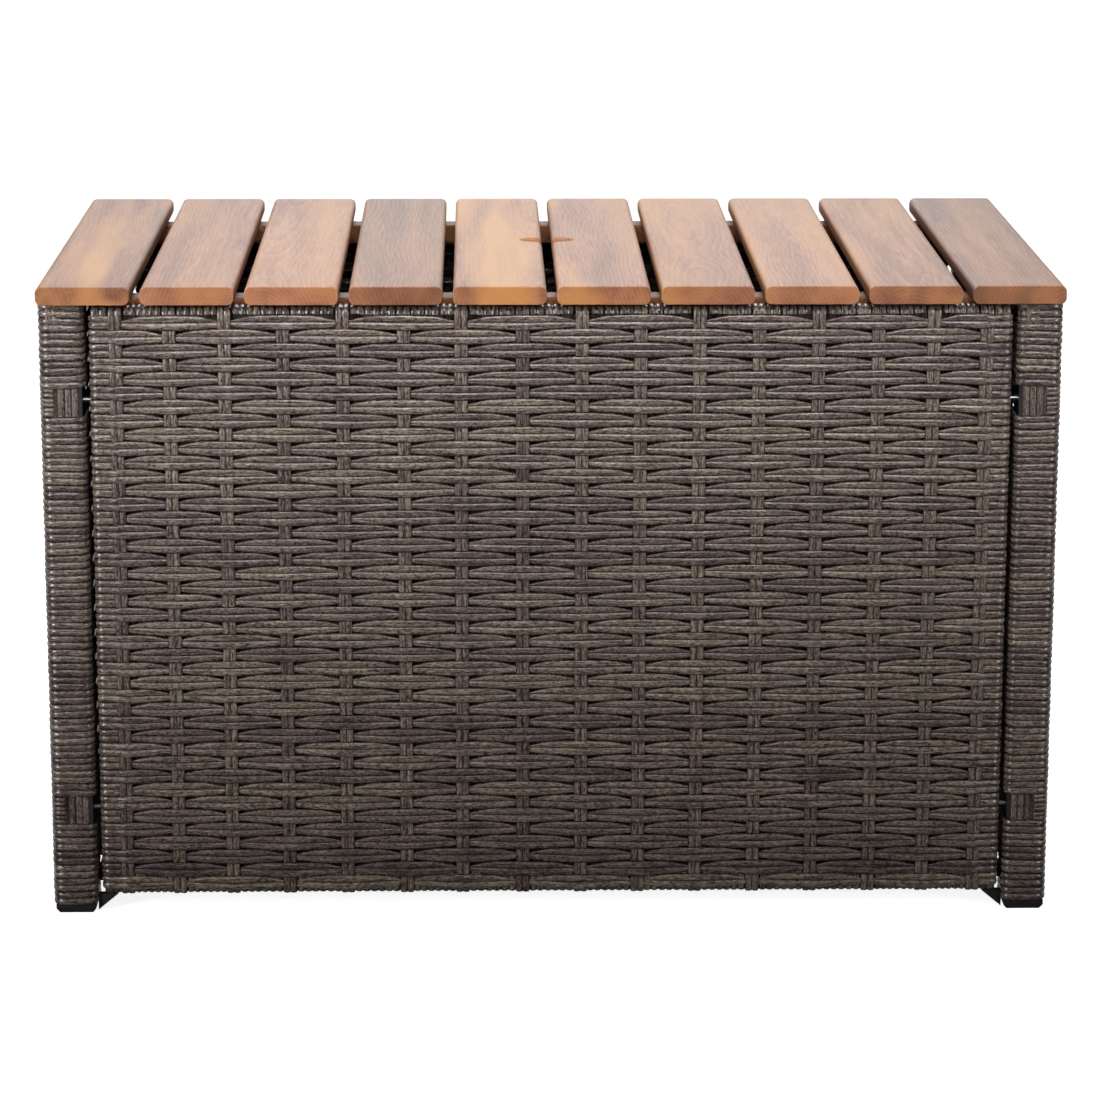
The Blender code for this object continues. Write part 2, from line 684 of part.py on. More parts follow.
def main():
    clear_scene()
    materials = {
        "rattan": make_material("Woven resin strand", (0.075, 0.062, 0.055), 0.45),
        "steel": make_material("Powder-coated steel tube", (0.02, 0.02, 0.02), 0.5),
        "foot": make_material("Black plastic foot", (0.012, 0.012, 0.012), 0.55),
        "zinc": make_material("Zinc-plated steel", (0.55, 0.55, 0.53), 0.35, 1.0),
        "slat": make_material("Oiled acacia", (0.50, 0.27, 0.14), 0.45),
        "batten": make_material("Acacia batten", (0.36, 0.15, 0.06), 0.5),
    }
    root = make_empty("box_root", (0, 0, 0))
    lid = make_empty("lid_pivot", (0, HINGE_Y, HINGE_Z))

    sleeves = {}
    for end_name in ENDS:
        for side_name in SIDES:
            sleeves[end_name, side_name] = add_post(end_name, side_name, materials, root)
            add_gusset(end_name, side_name, materials["steel"], root)

    half_front = POST_INNER_X - PANEL_SLIT
    for end_name, end in ENDS.items():
        place = Vector((0, end * BODY_DEPTH / 2, 0))
        turn = 0 if end < 0 else math.pi
        weave, frame = add_panel(end_name, half_front, place, turn, materials, root)
        bolt_panel(weave, frame, end, root)

    half_side = POST_INNER_Y - PANEL_SLIT
    for side_name, side in SIDES.items():
        place = Vector((side * BODY_WIDTH / 2, 0, 0))
        weave, frame = add_panel(side_name, half_side, place, side * math.pi / 2, materials, root)
        ends = {end_name: sleeves[end_name, side_name] for end_name in ENDS}
        weld_side_rails(side_name, side, weave, frame, ends, root)

    add_floor(materials, root)
    add_slats(materials["slat"], lid)
    add_battens(materials["batten"], lid)
    (lid_y, lid_z), _ = stay_places()
    for side_name in SIDES:
        add_hinge(side_name, materials, root, lid)
        bar_pivot = make_empty(f"stay_pivot_{side_name}", (0, lid_y, lid_z))
        add_stay(side_name, materials, root, lid, bar_pivot)


main()
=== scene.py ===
# %% [markdown]
# # A woven deck storage box with a slatted lid
# The steel frame, hinges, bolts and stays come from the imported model. This file adds what the eye reads first:
# every strand of the weave, the wooden slats with their rounded edges, the screws, and the finish of each part.
# Lengths are metres, +Z is up, and the front of the box faces -Y.

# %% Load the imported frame
import math
import bmesh
import bpy
import numpy as np
from mathutils import Euler, Matrix, Vector


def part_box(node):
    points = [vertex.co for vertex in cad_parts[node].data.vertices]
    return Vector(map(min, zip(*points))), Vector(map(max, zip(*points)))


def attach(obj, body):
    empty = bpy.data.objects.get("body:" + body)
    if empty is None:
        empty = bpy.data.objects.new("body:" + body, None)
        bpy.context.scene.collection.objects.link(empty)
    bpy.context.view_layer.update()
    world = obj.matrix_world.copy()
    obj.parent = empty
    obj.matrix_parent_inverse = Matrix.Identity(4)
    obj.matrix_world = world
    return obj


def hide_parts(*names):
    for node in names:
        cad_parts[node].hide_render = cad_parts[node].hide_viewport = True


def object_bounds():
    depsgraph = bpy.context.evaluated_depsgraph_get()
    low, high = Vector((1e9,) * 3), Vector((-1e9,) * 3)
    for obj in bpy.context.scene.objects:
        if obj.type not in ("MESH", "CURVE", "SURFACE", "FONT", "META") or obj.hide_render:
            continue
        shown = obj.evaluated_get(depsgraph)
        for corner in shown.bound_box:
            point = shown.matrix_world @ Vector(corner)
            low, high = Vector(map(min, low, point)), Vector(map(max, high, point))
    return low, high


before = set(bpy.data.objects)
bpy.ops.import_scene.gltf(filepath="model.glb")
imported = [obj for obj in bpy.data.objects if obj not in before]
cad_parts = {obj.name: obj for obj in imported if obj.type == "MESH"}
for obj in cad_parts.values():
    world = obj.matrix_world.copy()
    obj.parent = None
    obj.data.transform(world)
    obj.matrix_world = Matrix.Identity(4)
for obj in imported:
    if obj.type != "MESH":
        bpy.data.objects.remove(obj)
cad_box = [list(corner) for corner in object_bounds()]
MM = 0.001
chance = np.random.default_rng(7)
print("CAD box in mm:", [[round(v / MM, 1) for v in corner] for corner in cad_box])


# %% [markdown]
# ## Colours and shader nodes
# Colours are easiest to judge as hex codes, but shaders work in linear light, so one function converts them.
# A second small function adds a node, sets it up and wires it, which keeps each material short enough to read.
# Sums on the numbers that flow between nodes have a shorter function still.

# %% Helpers for colours and nodes
def hex_colour(code):
    """An sRGB hex code as a linear RGBA colour."""
    values = [int(code[i:i + 2], 16) / 255 for i in (1, 3, 5)]
    linear = [v / 12.92 if v <= 0.04045 else ((v + 0.055) / 1.055) ** 2.4 for v in values]
    return (*linear, 1.0)


def add_node(tree, kind, settings=None, links=None):
    """A node of this kind. settings holds properties or socket values, links joins its sockets to outputs."""
    node = tree.nodes.new(kind)
    for key, value in (settings or {}).items():
        if isinstance(key, int) or key in node.inputs:
            node.inputs[key].default_value = value
        elif key == "stops":
            while len(node.color_ramp.elements) < len(value):
                node.color_ramp.elements.new(0.5)
            for element, (position, code) in zip(node.color_ramp.elements, value):
                element.position = position
                element.color = hex_colour(code)
        else:
            setattr(node, key, value)
    for key, output in (links or {}).items():
        tree.links.new(output, node.inputs[key])
    return node


def add_maths(tree, operation, *values):
    """The output of a Math node. Each value is a number, or the output that feeds that socket."""
    numbers = {i: value for i, value in enumerate(values) if isinstance(value, float)}
    links = {i: value for i, value in enumerate(values) if not isinstance(value, float)}
    return add_node(tree, "ShaderNodeMath", {"operation": operation, **numbers}, links).outputs[0]


def new_material(name, preview):
    """An empty node material and its tree. preview is the plain colour of the viewport."""
    material = bpy.data.materials.new(name)
    material.use_nodes = True
    material.node_tree.nodes.clear()
    material.diffuse_color = hex_colour(preview)
    return material, material.node_tree


def finish_surface(tree, colour, roughness, height, depth, **constants):
    """Ends a material: colour, roughness and relief go into one Principled BSDF. depth is in metres."""
    settings = {key.replace("_", " "): value for key, value in constants.items()}
    relief = add_node(tree, "ShaderNodeBump", {"Distance": depth}, {"Height": height})
    links = {"Base Color": colour, "Roughness": roughness, "Normal": relief.outputs["Normal"]}
    shader = add_node(tree, "ShaderNodeBsdfPrincipled", settings, links)
    add_node(tree, "ShaderNodeOutputMaterial", None, {"Surface": shader.outputs[0]})


def stretched_noise(tree, vector, scale, detail=3.0, rough=0.55):
    """Noise with its own number of cells per metre along each axis of this vector."""
    sized = add_node(tree, "ShaderNodeVectorMath", {"operation": "MULTIPLY", 1: scale}, {0: vector})
    settings = {"Scale": 1.0, "Detail": detail, "Roughness": rough}
    return add_node(tree, "ShaderNodeTexNoise", settings, {"Vector": sized.outputs[0]}).outputs["Fac"]


print("Helpers ready")


# %% [markdown]
# ## The resin strand
# Outdoor wicker is woven from extruded polyethylene strand: a flat ribbon, about 14 mm wide, with two long
# ridges and a groove between them. The colour is mixed into the melt and streaks along the strand, and the
# extruder leaves fine lines. Each strand carries three numbers per point: how far along it is, how far across,
# and a random number of its own. The material reads those, so its streaks follow the strand round every bend.

# %% Material: extruded polyethylene strand
STRAND_WIDTH = 13.7 * MM


def make_strand_material():
    material, tree = new_material("Extruded polyethylene rattan strand, streaked grey-brown", "#4b413c")
    marks = add_node(tree, "ShaderNodeAttribute", {"attribute_name": "strand"}).outputs["Vector"]
    own = add_node(tree, "ShaderNodeSeparateXYZ", None, {0: marks}).outputs[2]

    # Each strand has a shade of its own, between a dark and a pale grey-brown, which drifts over some 60 mm.
    drift = stretched_noise(tree, marks, (16, 0, 40), 2.0)
    tone = add_maths(tree, "MULTIPLY_ADD", own, 0.55, drift)
    shades = [(0.30, "#5f5553"), (0.55, "#736662"), (0.80, "#83766e"), (1.00, "#8c8074")]
    base = add_node(tree, "ShaderNodeValToRGB", {"stops": shades}, {"Fac": tone}).outputs["Color"]

    # Flecks of darker melt, about 1.2 mm across and 4 mm along, and pale hair lines between them.
    flecks = stretched_noise(tree, marks, (230, 800, 37), 4.0, 0.7)
    fleck_shades = [(0.38, "#261e1c"), (0.45, "#807672"), (0.52, "#d2cbc6"), (0.64, "#ffffff")]
    fleck = add_node(tree, "ShaderNodeValToRGB", {"stops": fleck_shades}, {"Fac": flecks}).outputs["Color"]
    settings = {"data_type": "RGBA", "blend_type": "MULTIPLY", 0: 0.9}
    streaked = add_node(tree, "ShaderNodeMix", settings, {6: base, 7: fleck}).outputs[2]

    # Painted shade: the colour falls to a tenth in the groove and along both edges, where shade lies between the
    # ridges and between the rows, and stays full on the two crests.
    across = add_node(tree, "ShaderNodeSeparateXYZ", None, {0: marks}).outputs[1]
    for shift in (0.0, STRAND_WIDTH / 4):
        across = add_maths(tree, "ABSOLUTE", add_maths(tree, "SUBTRACT", across, shift))
    shade_and_dust = {"From Min": 0.62 * STRAND_WIDTH / 4, "From Max": STRAND_WIDTH / 4, "To Min": 1.0, "To Max": 0.10}
    shade_and_dust = add_node(tree, "ShaderNodeMapRange", shade_and_dust, {"Value": across}).outputs[0]

    # Fine extrusion lines, 1.2 mm apart, hold some dust, and short nicks cross them.
    lines = stretched_noise(tree, marks, (25, 830, 37), 2.0)
    dust = {"From Min": 0.36, "From Max": 0.56, "To Min": 0.55, "To Max": 1.12}
    dust = add_node(tree, "ShaderNodeMapRange", dust, {"Value": lines}).outputs[0]
    # The painted shade of groove and edges and the dust in the extrusion lines darken the strand's colour together.
    shade_and_dust = add_maths(tree, "MULTIPLY", shade_and_dust, dust)
    colour_with_shade_and_dust = add_node(tree, "ShaderNodeVectorMath", {"operation": "SCALE"}, {0: streaked, "Scale": shade_and_dust}).outputs[0]
    nicks = stretched_noise(tree, marks, (420, 520, 37), 3.0)
    height = add_maths(tree, "MULTIPLY_ADD", nicks, 0.5, lines)
    rough = add_node(tree, "ShaderNodeMapRange", {"To Min": 0.20, "To Max": 0.36}, {"Value": nicks}).outputs[0]
    finish_surface(tree, colour_with_shade_and_dust, rough, height, 0.16 * MM, IOR=1.5)
    return material


strand_material = make_strand_material()
print("Material:", strand_material.name)


# %% [markdown]
# ## Sweeping a strand along a path
# A strand could be a curve with a bevel profile, but a curve can't easily change its width or carry its own
# marks. Here the outline of the ribbon is carried along the path ring by ring with numpy. A strand that is bent
# hard also cups: its two ridges fold towards each other, while its flat back keeps its width.

# %% Strand outline and sweep
STRAND_THICKNESS = 3.0 * MM
# (across, out) as shares of half the width and of the thickness: two round ridges on a flat back.
RIDGE = [(1.00, -0.25), (0.96, 0.06), (0.84, 0.33), (0.54, 0.50), (0.24, 0.40), (0.08, 0.15)]
BACK = [(0.97, -0.40), (-0.97, -0.40)]
STRAND_OUTLINE = np.array([(-a, b) for a, b in RIDGE] + [(0.0, 0.02)] + RIDGE[::-1] + BACK)
# How far each point of the outline follows when the strand cups: the upper ridge most, the flat back not at all.
LOWER_SHARE = 0.35
CUPPING = np.array([LOWER_SHARE] * len(RIDGE) + [0.0] + [1.0] * len(RIDGE) + [0.0] * len(BACK))


def sweep(path, across, width=STRAND_WIDTH, thickness=STRAND_THICKNESS, closed=False, pinch=1.0):
    """One strand as points, quads, end caps and marks. across is the direction of its width, and its ridged face
    looks along path direction x across. pinch is the share of the width that the ridges keep where they cup."""
    path = np.asarray(path, float)
    across = np.asarray(across, float)
    count = len(path)
    tangent = np.roll(path, -1, 0) - np.roll(path, 1, 0) if closed else np.gradient(path, axis=0)
    out = np.cross(tangent, across)
    out /= np.linalg.norm(out, axis=1, keepdims=True)
    half = np.broadcast_to(width, count) / 2
    cupped = 1 + CUPPING * (np.broadcast_to(pinch, count)[:, None] - 1)
    sides = (STRAND_OUTLINE[:, 0] * cupped)[:, :, None] * half[:, None, None] * across
    lifts = STRAND_OUTLINE[:, 1][None, :, None] * thickness * out[:, None, :]
    points = path[:, None, :] + sides + lifts

    steps = np.linalg.norm(np.diff(path, axis=0), axis=1)
    marks = np.empty((count, len(STRAND_OUTLINE), 3))
    marks[:, :, 0] = np.concatenate([[0], np.cumsum(steps)])[:, None]
    marks[:, :, 1] = STRAND_OUTLINE[:, 0] * STRAND_WIDTH / 2
    marks[:, :, 2] = chance.random()

    ring = np.arange(len(STRAND_OUTLINE))
    after = np.roll(ring, -1)
    rows = np.arange(count if closed else count - 1)
    here = rows[:, None] * len(ring)
    there = ((rows + 1) % count)[:, None] * len(ring)
    quads = np.stack([here + ring, there + ring, there + after, here + after], -1).reshape(-1, 4)
    caps = [] if closed else [ring, ((count - 1) * len(ring) + ring)[::-1]]
    return points.reshape(-1, 3), quads, caps, marks.reshape(-1, 3)


def link_piece(name, mesh, body, nodes, material):
    """Puts a mesh in the scene as a piece that rides on a body and stands for CAD nodes."""
    mesh.materials.append(material)
    piece = bpy.data.objects.new(name, mesh)
    bpy.context.scene.collection.objects.link(piece)
    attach(piece, body)
    if nodes:
        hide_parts(*nodes)
    return piece


def make_woven_piece(name, strands, node, place=None):
    """One mesh from many strands. place turns and moves them, and node is the plain solid that it stands for."""
    points, corners, sizes, marks, total = [], [], [], [], 0
    for strand_points, quads, caps, strand_marks in strands:
        points.append(strand_points)
        marks.append(strand_marks)
        corners.append((quads + total).ravel())
        sizes.append(np.full(len(quads), 4))
        for cap in caps:
            corners.append(cap + total)
            sizes.append([len(cap)])
        total += len(strand_points)
    points = np.concatenate(points)
    if place is not None:
        points = points @ place[0].T + place[1]
    corners = np.concatenate(corners)
    sizes = np.concatenate(sizes)
    mesh = bpy.data.meshes.new(name)
    mesh.vertices.add(total)
    mesh.vertices.foreach_set("co", points.ravel())
    mesh.loops.add(len(corners))
    mesh.loops.foreach_set("vertex_index", corners)
    mesh.polygons.add(len(sizes))
    mesh.polygons.foreach_set("loop_start", np.concatenate([[0], np.cumsum(sizes)[:-1]]))
    mesh.polygons.foreach_set("loop_total", sizes)
    mesh.polygons.foreach_set("use_smooth", np.ones(len(sizes), bool))
    layer = mesh.attributes.new("strand", "FLOAT_VECTOR", "POINT")
    layer.data.foreach_set("vector", np.concatenate(marks).ravel())
    mesh.update()
    mesh.validate()
    piece = link_piece(name, mesh, "box", [node], strand_material)
    print(f"{name}: {len(strands)} strands, {len(sizes)} faces")
    return piece


def rounded_route(corners, radius, steps=4):
    """A flat route through corner points, (a, b) pairs, with each inner corner turned as an arc."""
    corners = [np.array(c, float) for c in corners]
    route = [corners[0]]
    for before, corner, after in zip(corners, corners[1:], corners[2:]):
        start = corner + (before - corner) / np.linalg.norm(before - corner) * radius
        stop = corner + (after - corner) / np.linalg.norm(after - corner) * radius
        for t in np.linspace(0, 1, steps + 1):
            route.append((1 - t) ** 2 * start + 2 * t * (1 - t) * corner + t**2 * stop)
    route.append(corners[-1])
    return np.array(route)


print("Strand outline has", len(STRAND_OUTLINE), "points")


# %% [markdown]
# ## Where the weave goes
# Every woven panel is a ring of square tube. Upright stakes are wound over its top and bottom rails, and the
# weaver runs from side to side, in front of one stake and behind the next, and turns back round the end
# uprights. The row above does the opposite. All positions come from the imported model's own boxes.

# %% Panel measurements from the frame
ROW_PITCH = 14.0 * MM
TOP_RIM = 9.0 * MM
BOTTOM_RIM = 6.5 * MM
STAKE_END_INSET = 26.5 * MM
STAKE_END_SPACINGS = (51.5 * MM, 54.0 * MM)
STAKE_PITCH = 58.0 * MM
STAKE_WANDER = 1.2  # millimetres
TUBE_SIZE = 20 * MM


def stake_spots(half):
    """Where the stakes stand along a panel: closer at the ends, evenly spread between."""
    outer = half - STAKE_END_INSET
    second = outer - STAKE_END_SPACINGS[0]
    third = second - STAKE_END_SPACINGS[1]
    spans = max(2, round(2 * third / STAKE_PITCH))
    inner = np.linspace(-third, third, spans + 1)
    spots = np.concatenate([[-outer, -second], inner, [second, outer]])
    return spots + chance.uniform(-STAKE_WANDER, STAKE_WANDER, len(spots)) * MM


def panel_facts(name):
    """A panel's measurements in its own frame: x along it, y inwards from its outer face, z up."""
    skin_low, skin_high = (np.array(c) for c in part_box(f"{name}_weave"))
    tube_low, tube_high = (np.array(c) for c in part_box(f"{name}_frame"))
    run = 0 if name in ("front", "back") else 1
    deep = 1 - run
    outward = -1 if name in ("front", "left") else 1
    outer = skin_low[deep] if outward < 0 else skin_high[deep]
    near = min(abs(outer - tube_low[deep]), abs(outer - tube_high[deep]))
    along = {"front": (1, 0, 0), "back": (-1, 0, 0), "left": (0, -1, 0), "right": (0, 1, 0)}[name]
    into = {"front": (0, 1, 0), "back": (0, -1, 0), "left": (1, 0, 0), "right": (-1, 0, 0)}[name]
    origin = np.zeros(3)
    origin[deep] = outer
    half = (skin_high[run] - skin_low[run]) / 2
    low, high = skin_low[2], skin_high[2]
    woven = high - low - TOP_RIM - BOTTOM_RIM
    rows = round(woven / ROW_PITCH)
    pitch = woven / rows
    return {
        "name": name, "half": half, "stakes": stake_spots(half), "tube_y": (near, near + TUBE_SIZE),
        "tube_z": (tube_low[2], tube_high[2]), "rows": rows, "pitch": pitch,
        "levels": [high - TOP_RIM - (row + 0.5) * pitch for row in range(rows)],
        "place": (np.column_stack([along, into, (0, 0, 1)]).astype(float), origin),
    }


PANELS = [panel_facts(name) for name in ("front", "back", "left", "right")]
for panel in PANELS:
    print(panel["name"], "panel:", len(panel["stakes"]), "stakes,", panel["rows"], "rows of",
          round(panel["pitch"] / MM, 2), "mm, tube", [round(v / MM, 1) for v in panel["tube_y"]])


# %% [markdown]
# ## The weavers
# One weaver per row, from the back of one end upright round to the back of the other. Its depth swings from
# stake to stake. Its ridged face lies open in front of a stake and cups where it dives behind the next, which
# gives the lens-shaped floats. Its flat back stays wide, so that rows close up behind. Where it passes through
# the plane of the stakes it is a little narrower. Rows are grouped into a few meshes.

# %% Weave the rows
SAMPLES_PER_SPAN = 8
ROWS_PER_SPOOL = 7
WEAVE_PLANE = 2.0 * MM
WEAVER_SWING = 2.1 * MM
RIM_PLANE = 0.9 * MM
RIM_SWING = 1.2 * MM
FLAT_WIDTH = 16.3 * MM
CROSSING_WIDTH = 15.1 * MM
HOOK_WIDTH = 14.2 * MM
LAYER = 0.12 * MM
ROW_WANDER = 0.45 * MM
# The share of its width that the face keeps, from right behind a stake (-1) to right in front of one (1).
CUP_PLACES = (-0.92, -0.6, -0.1, 0.3, 1.0)
CUP_SHARES = (0.22, 0.62, 0.90, 0.93, 0.95)
HOOK_SHARE = 0.96
# The turn round an end upright: how far in from the panel's end it starts and stops, and how deep it lies.
HOOK_START, HOOK_STOP = 15 * MM, 26 * MM
HOOK_DEPTH, SHOULDER_DEPTH = 2.6 * MM, 3.3 * MM
HOOK_EDGE, HOOK_BACK = 1.6 * MM, 1.5 * MM
END_RADIUS = 7 * MM


def weaver(panel, row):
    """The path, the width and the cupping of one row's strand."""
    stakes = panel["stakes"]
    half = panel["half"]
    plane, swing = (RIM_PLANE, RIM_SWING) if row == 0 else (WEAVE_PLANE, WEAVER_SWING)
    side = np.where((np.arange(len(stakes)) + row) % 2 == 0, 1.0, -1.0)
    t = np.arange(SAMPLES_PER_SPAN) / SAMPLES_PER_SPAN
    blend = (1 - np.cos(math.pi * t)) / 2
    xs = (stakes[:-1, None] + np.diff(stakes)[:, None] * t).ravel()
    sway = (side[:-1, None] + np.diff(side)[:, None] * blend).ravel()
    xs = np.append(xs, stakes[-1])
    sway = np.append(sway, side[-1])
    middle = np.column_stack([xs, plane + swing * sway + LAYER * (row % 2)])

    def end(sign, stake_x, depth):
        """From beside the outermost stake round the end upright to its back."""
        turn_x = half - HOOK_START
        t = np.linspace(0.25, 0.75, 3)
        eased = np.column_stack([sign * stake_x + (turn_x - sign * stake_x) * t, depth + (HOOK_DEPTH - depth) * t])
        outer = half - HOOK_EDGE
        inner = panel["tube_y"][1] + HOOK_BACK
        hook = [(turn_x, HOOK_DEPTH), (outer, SHOULDER_DEPTH), (outer, inner), (half - HOOK_STOP, inner)]
        route = np.concatenate([eased, rounded_route(hook, END_RADIUS)])
        return route * (sign, 1)

    right = end(1, stakes[-1], middle[-1, 1])
    left = end(-1, stakes[0], middle[0, 1])[::-1]
    flat = np.concatenate([left, middle, right])
    pressed = np.concatenate([np.zeros(len(left)), sway**2, np.zeros(len(right))])
    wander = ROW_WANDER * np.sin(flat[:, 0] * 19 + row * 0.25) * (pressed > 0)
    path = np.column_stack([flat, panel["levels"][row] + wander])
    width = CROSSING_WIDTH + (FLAT_WIDTH - CROSSING_WIDTH) * pressed
    width[:len(left)] = width[-len(right):] = HOOK_WIDTH
    # sway is 1 behind a stake and -1 in front of one.
    pinch = np.interp(-sway, CUP_PLACES, CUP_SHARES)
    pinch = np.concatenate([np.full(len(left), HOOK_SHARE), pinch, np.full(len(right), HOOK_SHARE)])
    return path, width * panel["pitch"] / ROW_PITCH, pinch


for panel in PANELS:
    for spool in range(0, panel["rows"], ROWS_PER_SPOOL):
        strands = []
        for row in range(spool, min(spool + ROWS_PER_SPOOL, panel["rows"])):
            path, width, pinch = weaver(panel, row)
            strands.append(sweep(path, (0, 0, 1), width, pinch=pinch))
        name = f"{panel['name']}_weave_rows_{spool // ROWS_PER_SPOOL + 1}"
        make_woven_piece(name, strands, f"{panel['name']}_weave", panel["place"])


# %% [markdown]
# ## The stakes and the wrapped rails
# The stakes are the same strand stood upright. Each is wound over the top and the bottom rail and tucked in
# behind. Between them the rails are wrapped with short turns of strand, whose round shoulders catch the light.

# %% Stand the stakes and wrap the rails
STAKE_SWING = 0.4 * MM
STAKE_PLANE = 2.3 * MM
STAKE_THICKNESS = 1.8 * MM
TURN_THICKNESS = 2.6 * MM
RAIL_END_INSET = 3 * MM


def stake(panel, spot, number):
    """Hooked round the bottom rail, straight up the face, over the top rail and down behind it."""
    low, high = panel["tube_z"]
    inner = panel["tube_y"][1] + 1.4 * MM
    top = high + 1.5 * MM
    bottom = low - 1.4 * MM
    before_rim = number % 2 == 0
    face = 0.6 * MM if before_rim else STAKE_PLANE
    foot = [(inner, low + 18 * MM), (inner, bottom), (STAKE_PLANE, bottom), (STAKE_PLANE, low + 12 * MM)]
    head = [(face, high - 19 * MM), (face, top), (inner, top), (inner, high - 18 * MM)]
    middle = []
    for row in range(panel["rows"] - 1, 0, -1):
        sign = -1 if (number + row) % 2 == 0 else 1
        for offset in (-0.25, 0.25):
            middle.append((STAKE_PLANE + STAKE_SWING * sign, panel["levels"][row] + offset * panel["pitch"]))
    flat = np.concatenate([rounded_route(foot, 4 * MM), middle[2:], rounded_route(head, 6 * MM)])
    return np.column_stack([np.full(len(flat), spot), flat])


def rail_turn(panel, x, z_low, z_high):
    """One turn of strand round a rail, as a closed loop."""
    front, back = panel["tube_y"]
    gap = 0.9 * MM
    y0, y1, z0, z1 = front - gap, back + gap, z_low - gap, z_high + gap
    middle = (y0 + y1) / 2
    route = rounded_route([(middle, z0), (y1, z0), (y1, z1), (y0, z1), (y0, z0), (middle, z0)], 5 * MM)[:-1]
    lean = 0.8 * MM * chance.uniform(-1, 1)
    xs = x + lean * np.sin(np.linspace(0, math.tau, len(route), endpoint=False))
    return np.column_stack([xs, route])


for panel in PANELS:
    stakes = panel["stakes"]
    uprights = []
    for number, spot in enumerate(stakes):
        path = stake(panel, spot, number)
        uprights.append(sweep(path, (-1, 0, 0), STRAND_WIDTH - 0.2 * MM, STAKE_THICKNESS))
    make_woven_piece(f"{panel['name']}_stakes", uprights, f"{panel['name']}_weave", panel["place"])

    low, high = panel["tube_z"]
    last = panel["half"] - RAIL_END_INSET + STRAND_WIDTH / 2
    edges = np.concatenate([[-last], stakes, [last]])
    turns = []
    for start, stop in zip(edges, edges[1:]):
        room = stop - start - STRAND_WIDTH
        count = max(1, round(room / STRAND_WIDTH))
        for turn in range(count):
            x = start + STRAND_WIDTH / 2 + room * (turn + 0.5) / count
            for z_low in (low, high - TUBE_SIZE):
                path = rail_turn(panel, x, z_low, z_low + TUBE_SIZE)
                turns.append(sweep(path, (1, 0, 0), room / count - 0.3 * MM, TURN_THICKNESS, True))
    make_woven_piece(f"{panel['name']}_rail_wrap", turns, f"{panel['name']}_weave", panel["place"])


# %% [markdown]
# ## The wrapped posts
# Each steel post carries two strands up each outer face, and a wrap wound round them like thread on a reel.
# The strands under it lift the wrap in the middle of each face, so a turn of wrap is a soft square in plan.
# At two heights the wrap stops for two turns, so that the bolt behind can be reached, and the upright strands
# show. Small loops still cover the outer corner there.

# %% Wrap the posts
WRAP_PITCH = 13.9 * MM
WRAP_REACH = 21.4 * MM
WRAP_THICKNESS = 3.0 * MM
SOFT_SQUARE_POWER = 5
TURN_STEPS = 40
WINDOWS = ((0.094, 0.122), (0.510, 0.538))
CORNER_LOOP_PITCH = 9.0 * MM
UPRIGHT_THICKNESS = 1.8 * MM
UPRIGHT_STEPS = 24


def soft_square(angles, reach):
    """Points of a soft square in plan, at these angles."""
    c, s = np.cos(angles), np.sin(angles)
    distance = (np.abs(c) ** SOFT_SQUARE_POWER + np.abs(s) ** SOFT_SQUARE_POWER) ** (-1 / SOFT_SQUARE_POWER)
    return np.column_stack([c, s]) * (reach * distance)[:, None]


def wrap_levels(low, high):
    """Height, pitch and whether it lies in a window, for each turn of wrap."""
    stops = [low, *(edge for window in WINDOWS for edge in window), high]
    for index, (start, stop) in enumerate(zip(stops, stops[1:])):
        in_window = index % 2 == 1
        count = max(1, round((stop - start) / (CORNER_LOOP_PITCH if in_window else WRAP_PITCH)))
        for turn in range(count):
            yield start + (turn + 0.5) * (stop - start) / count, (stop - start) / count, in_window


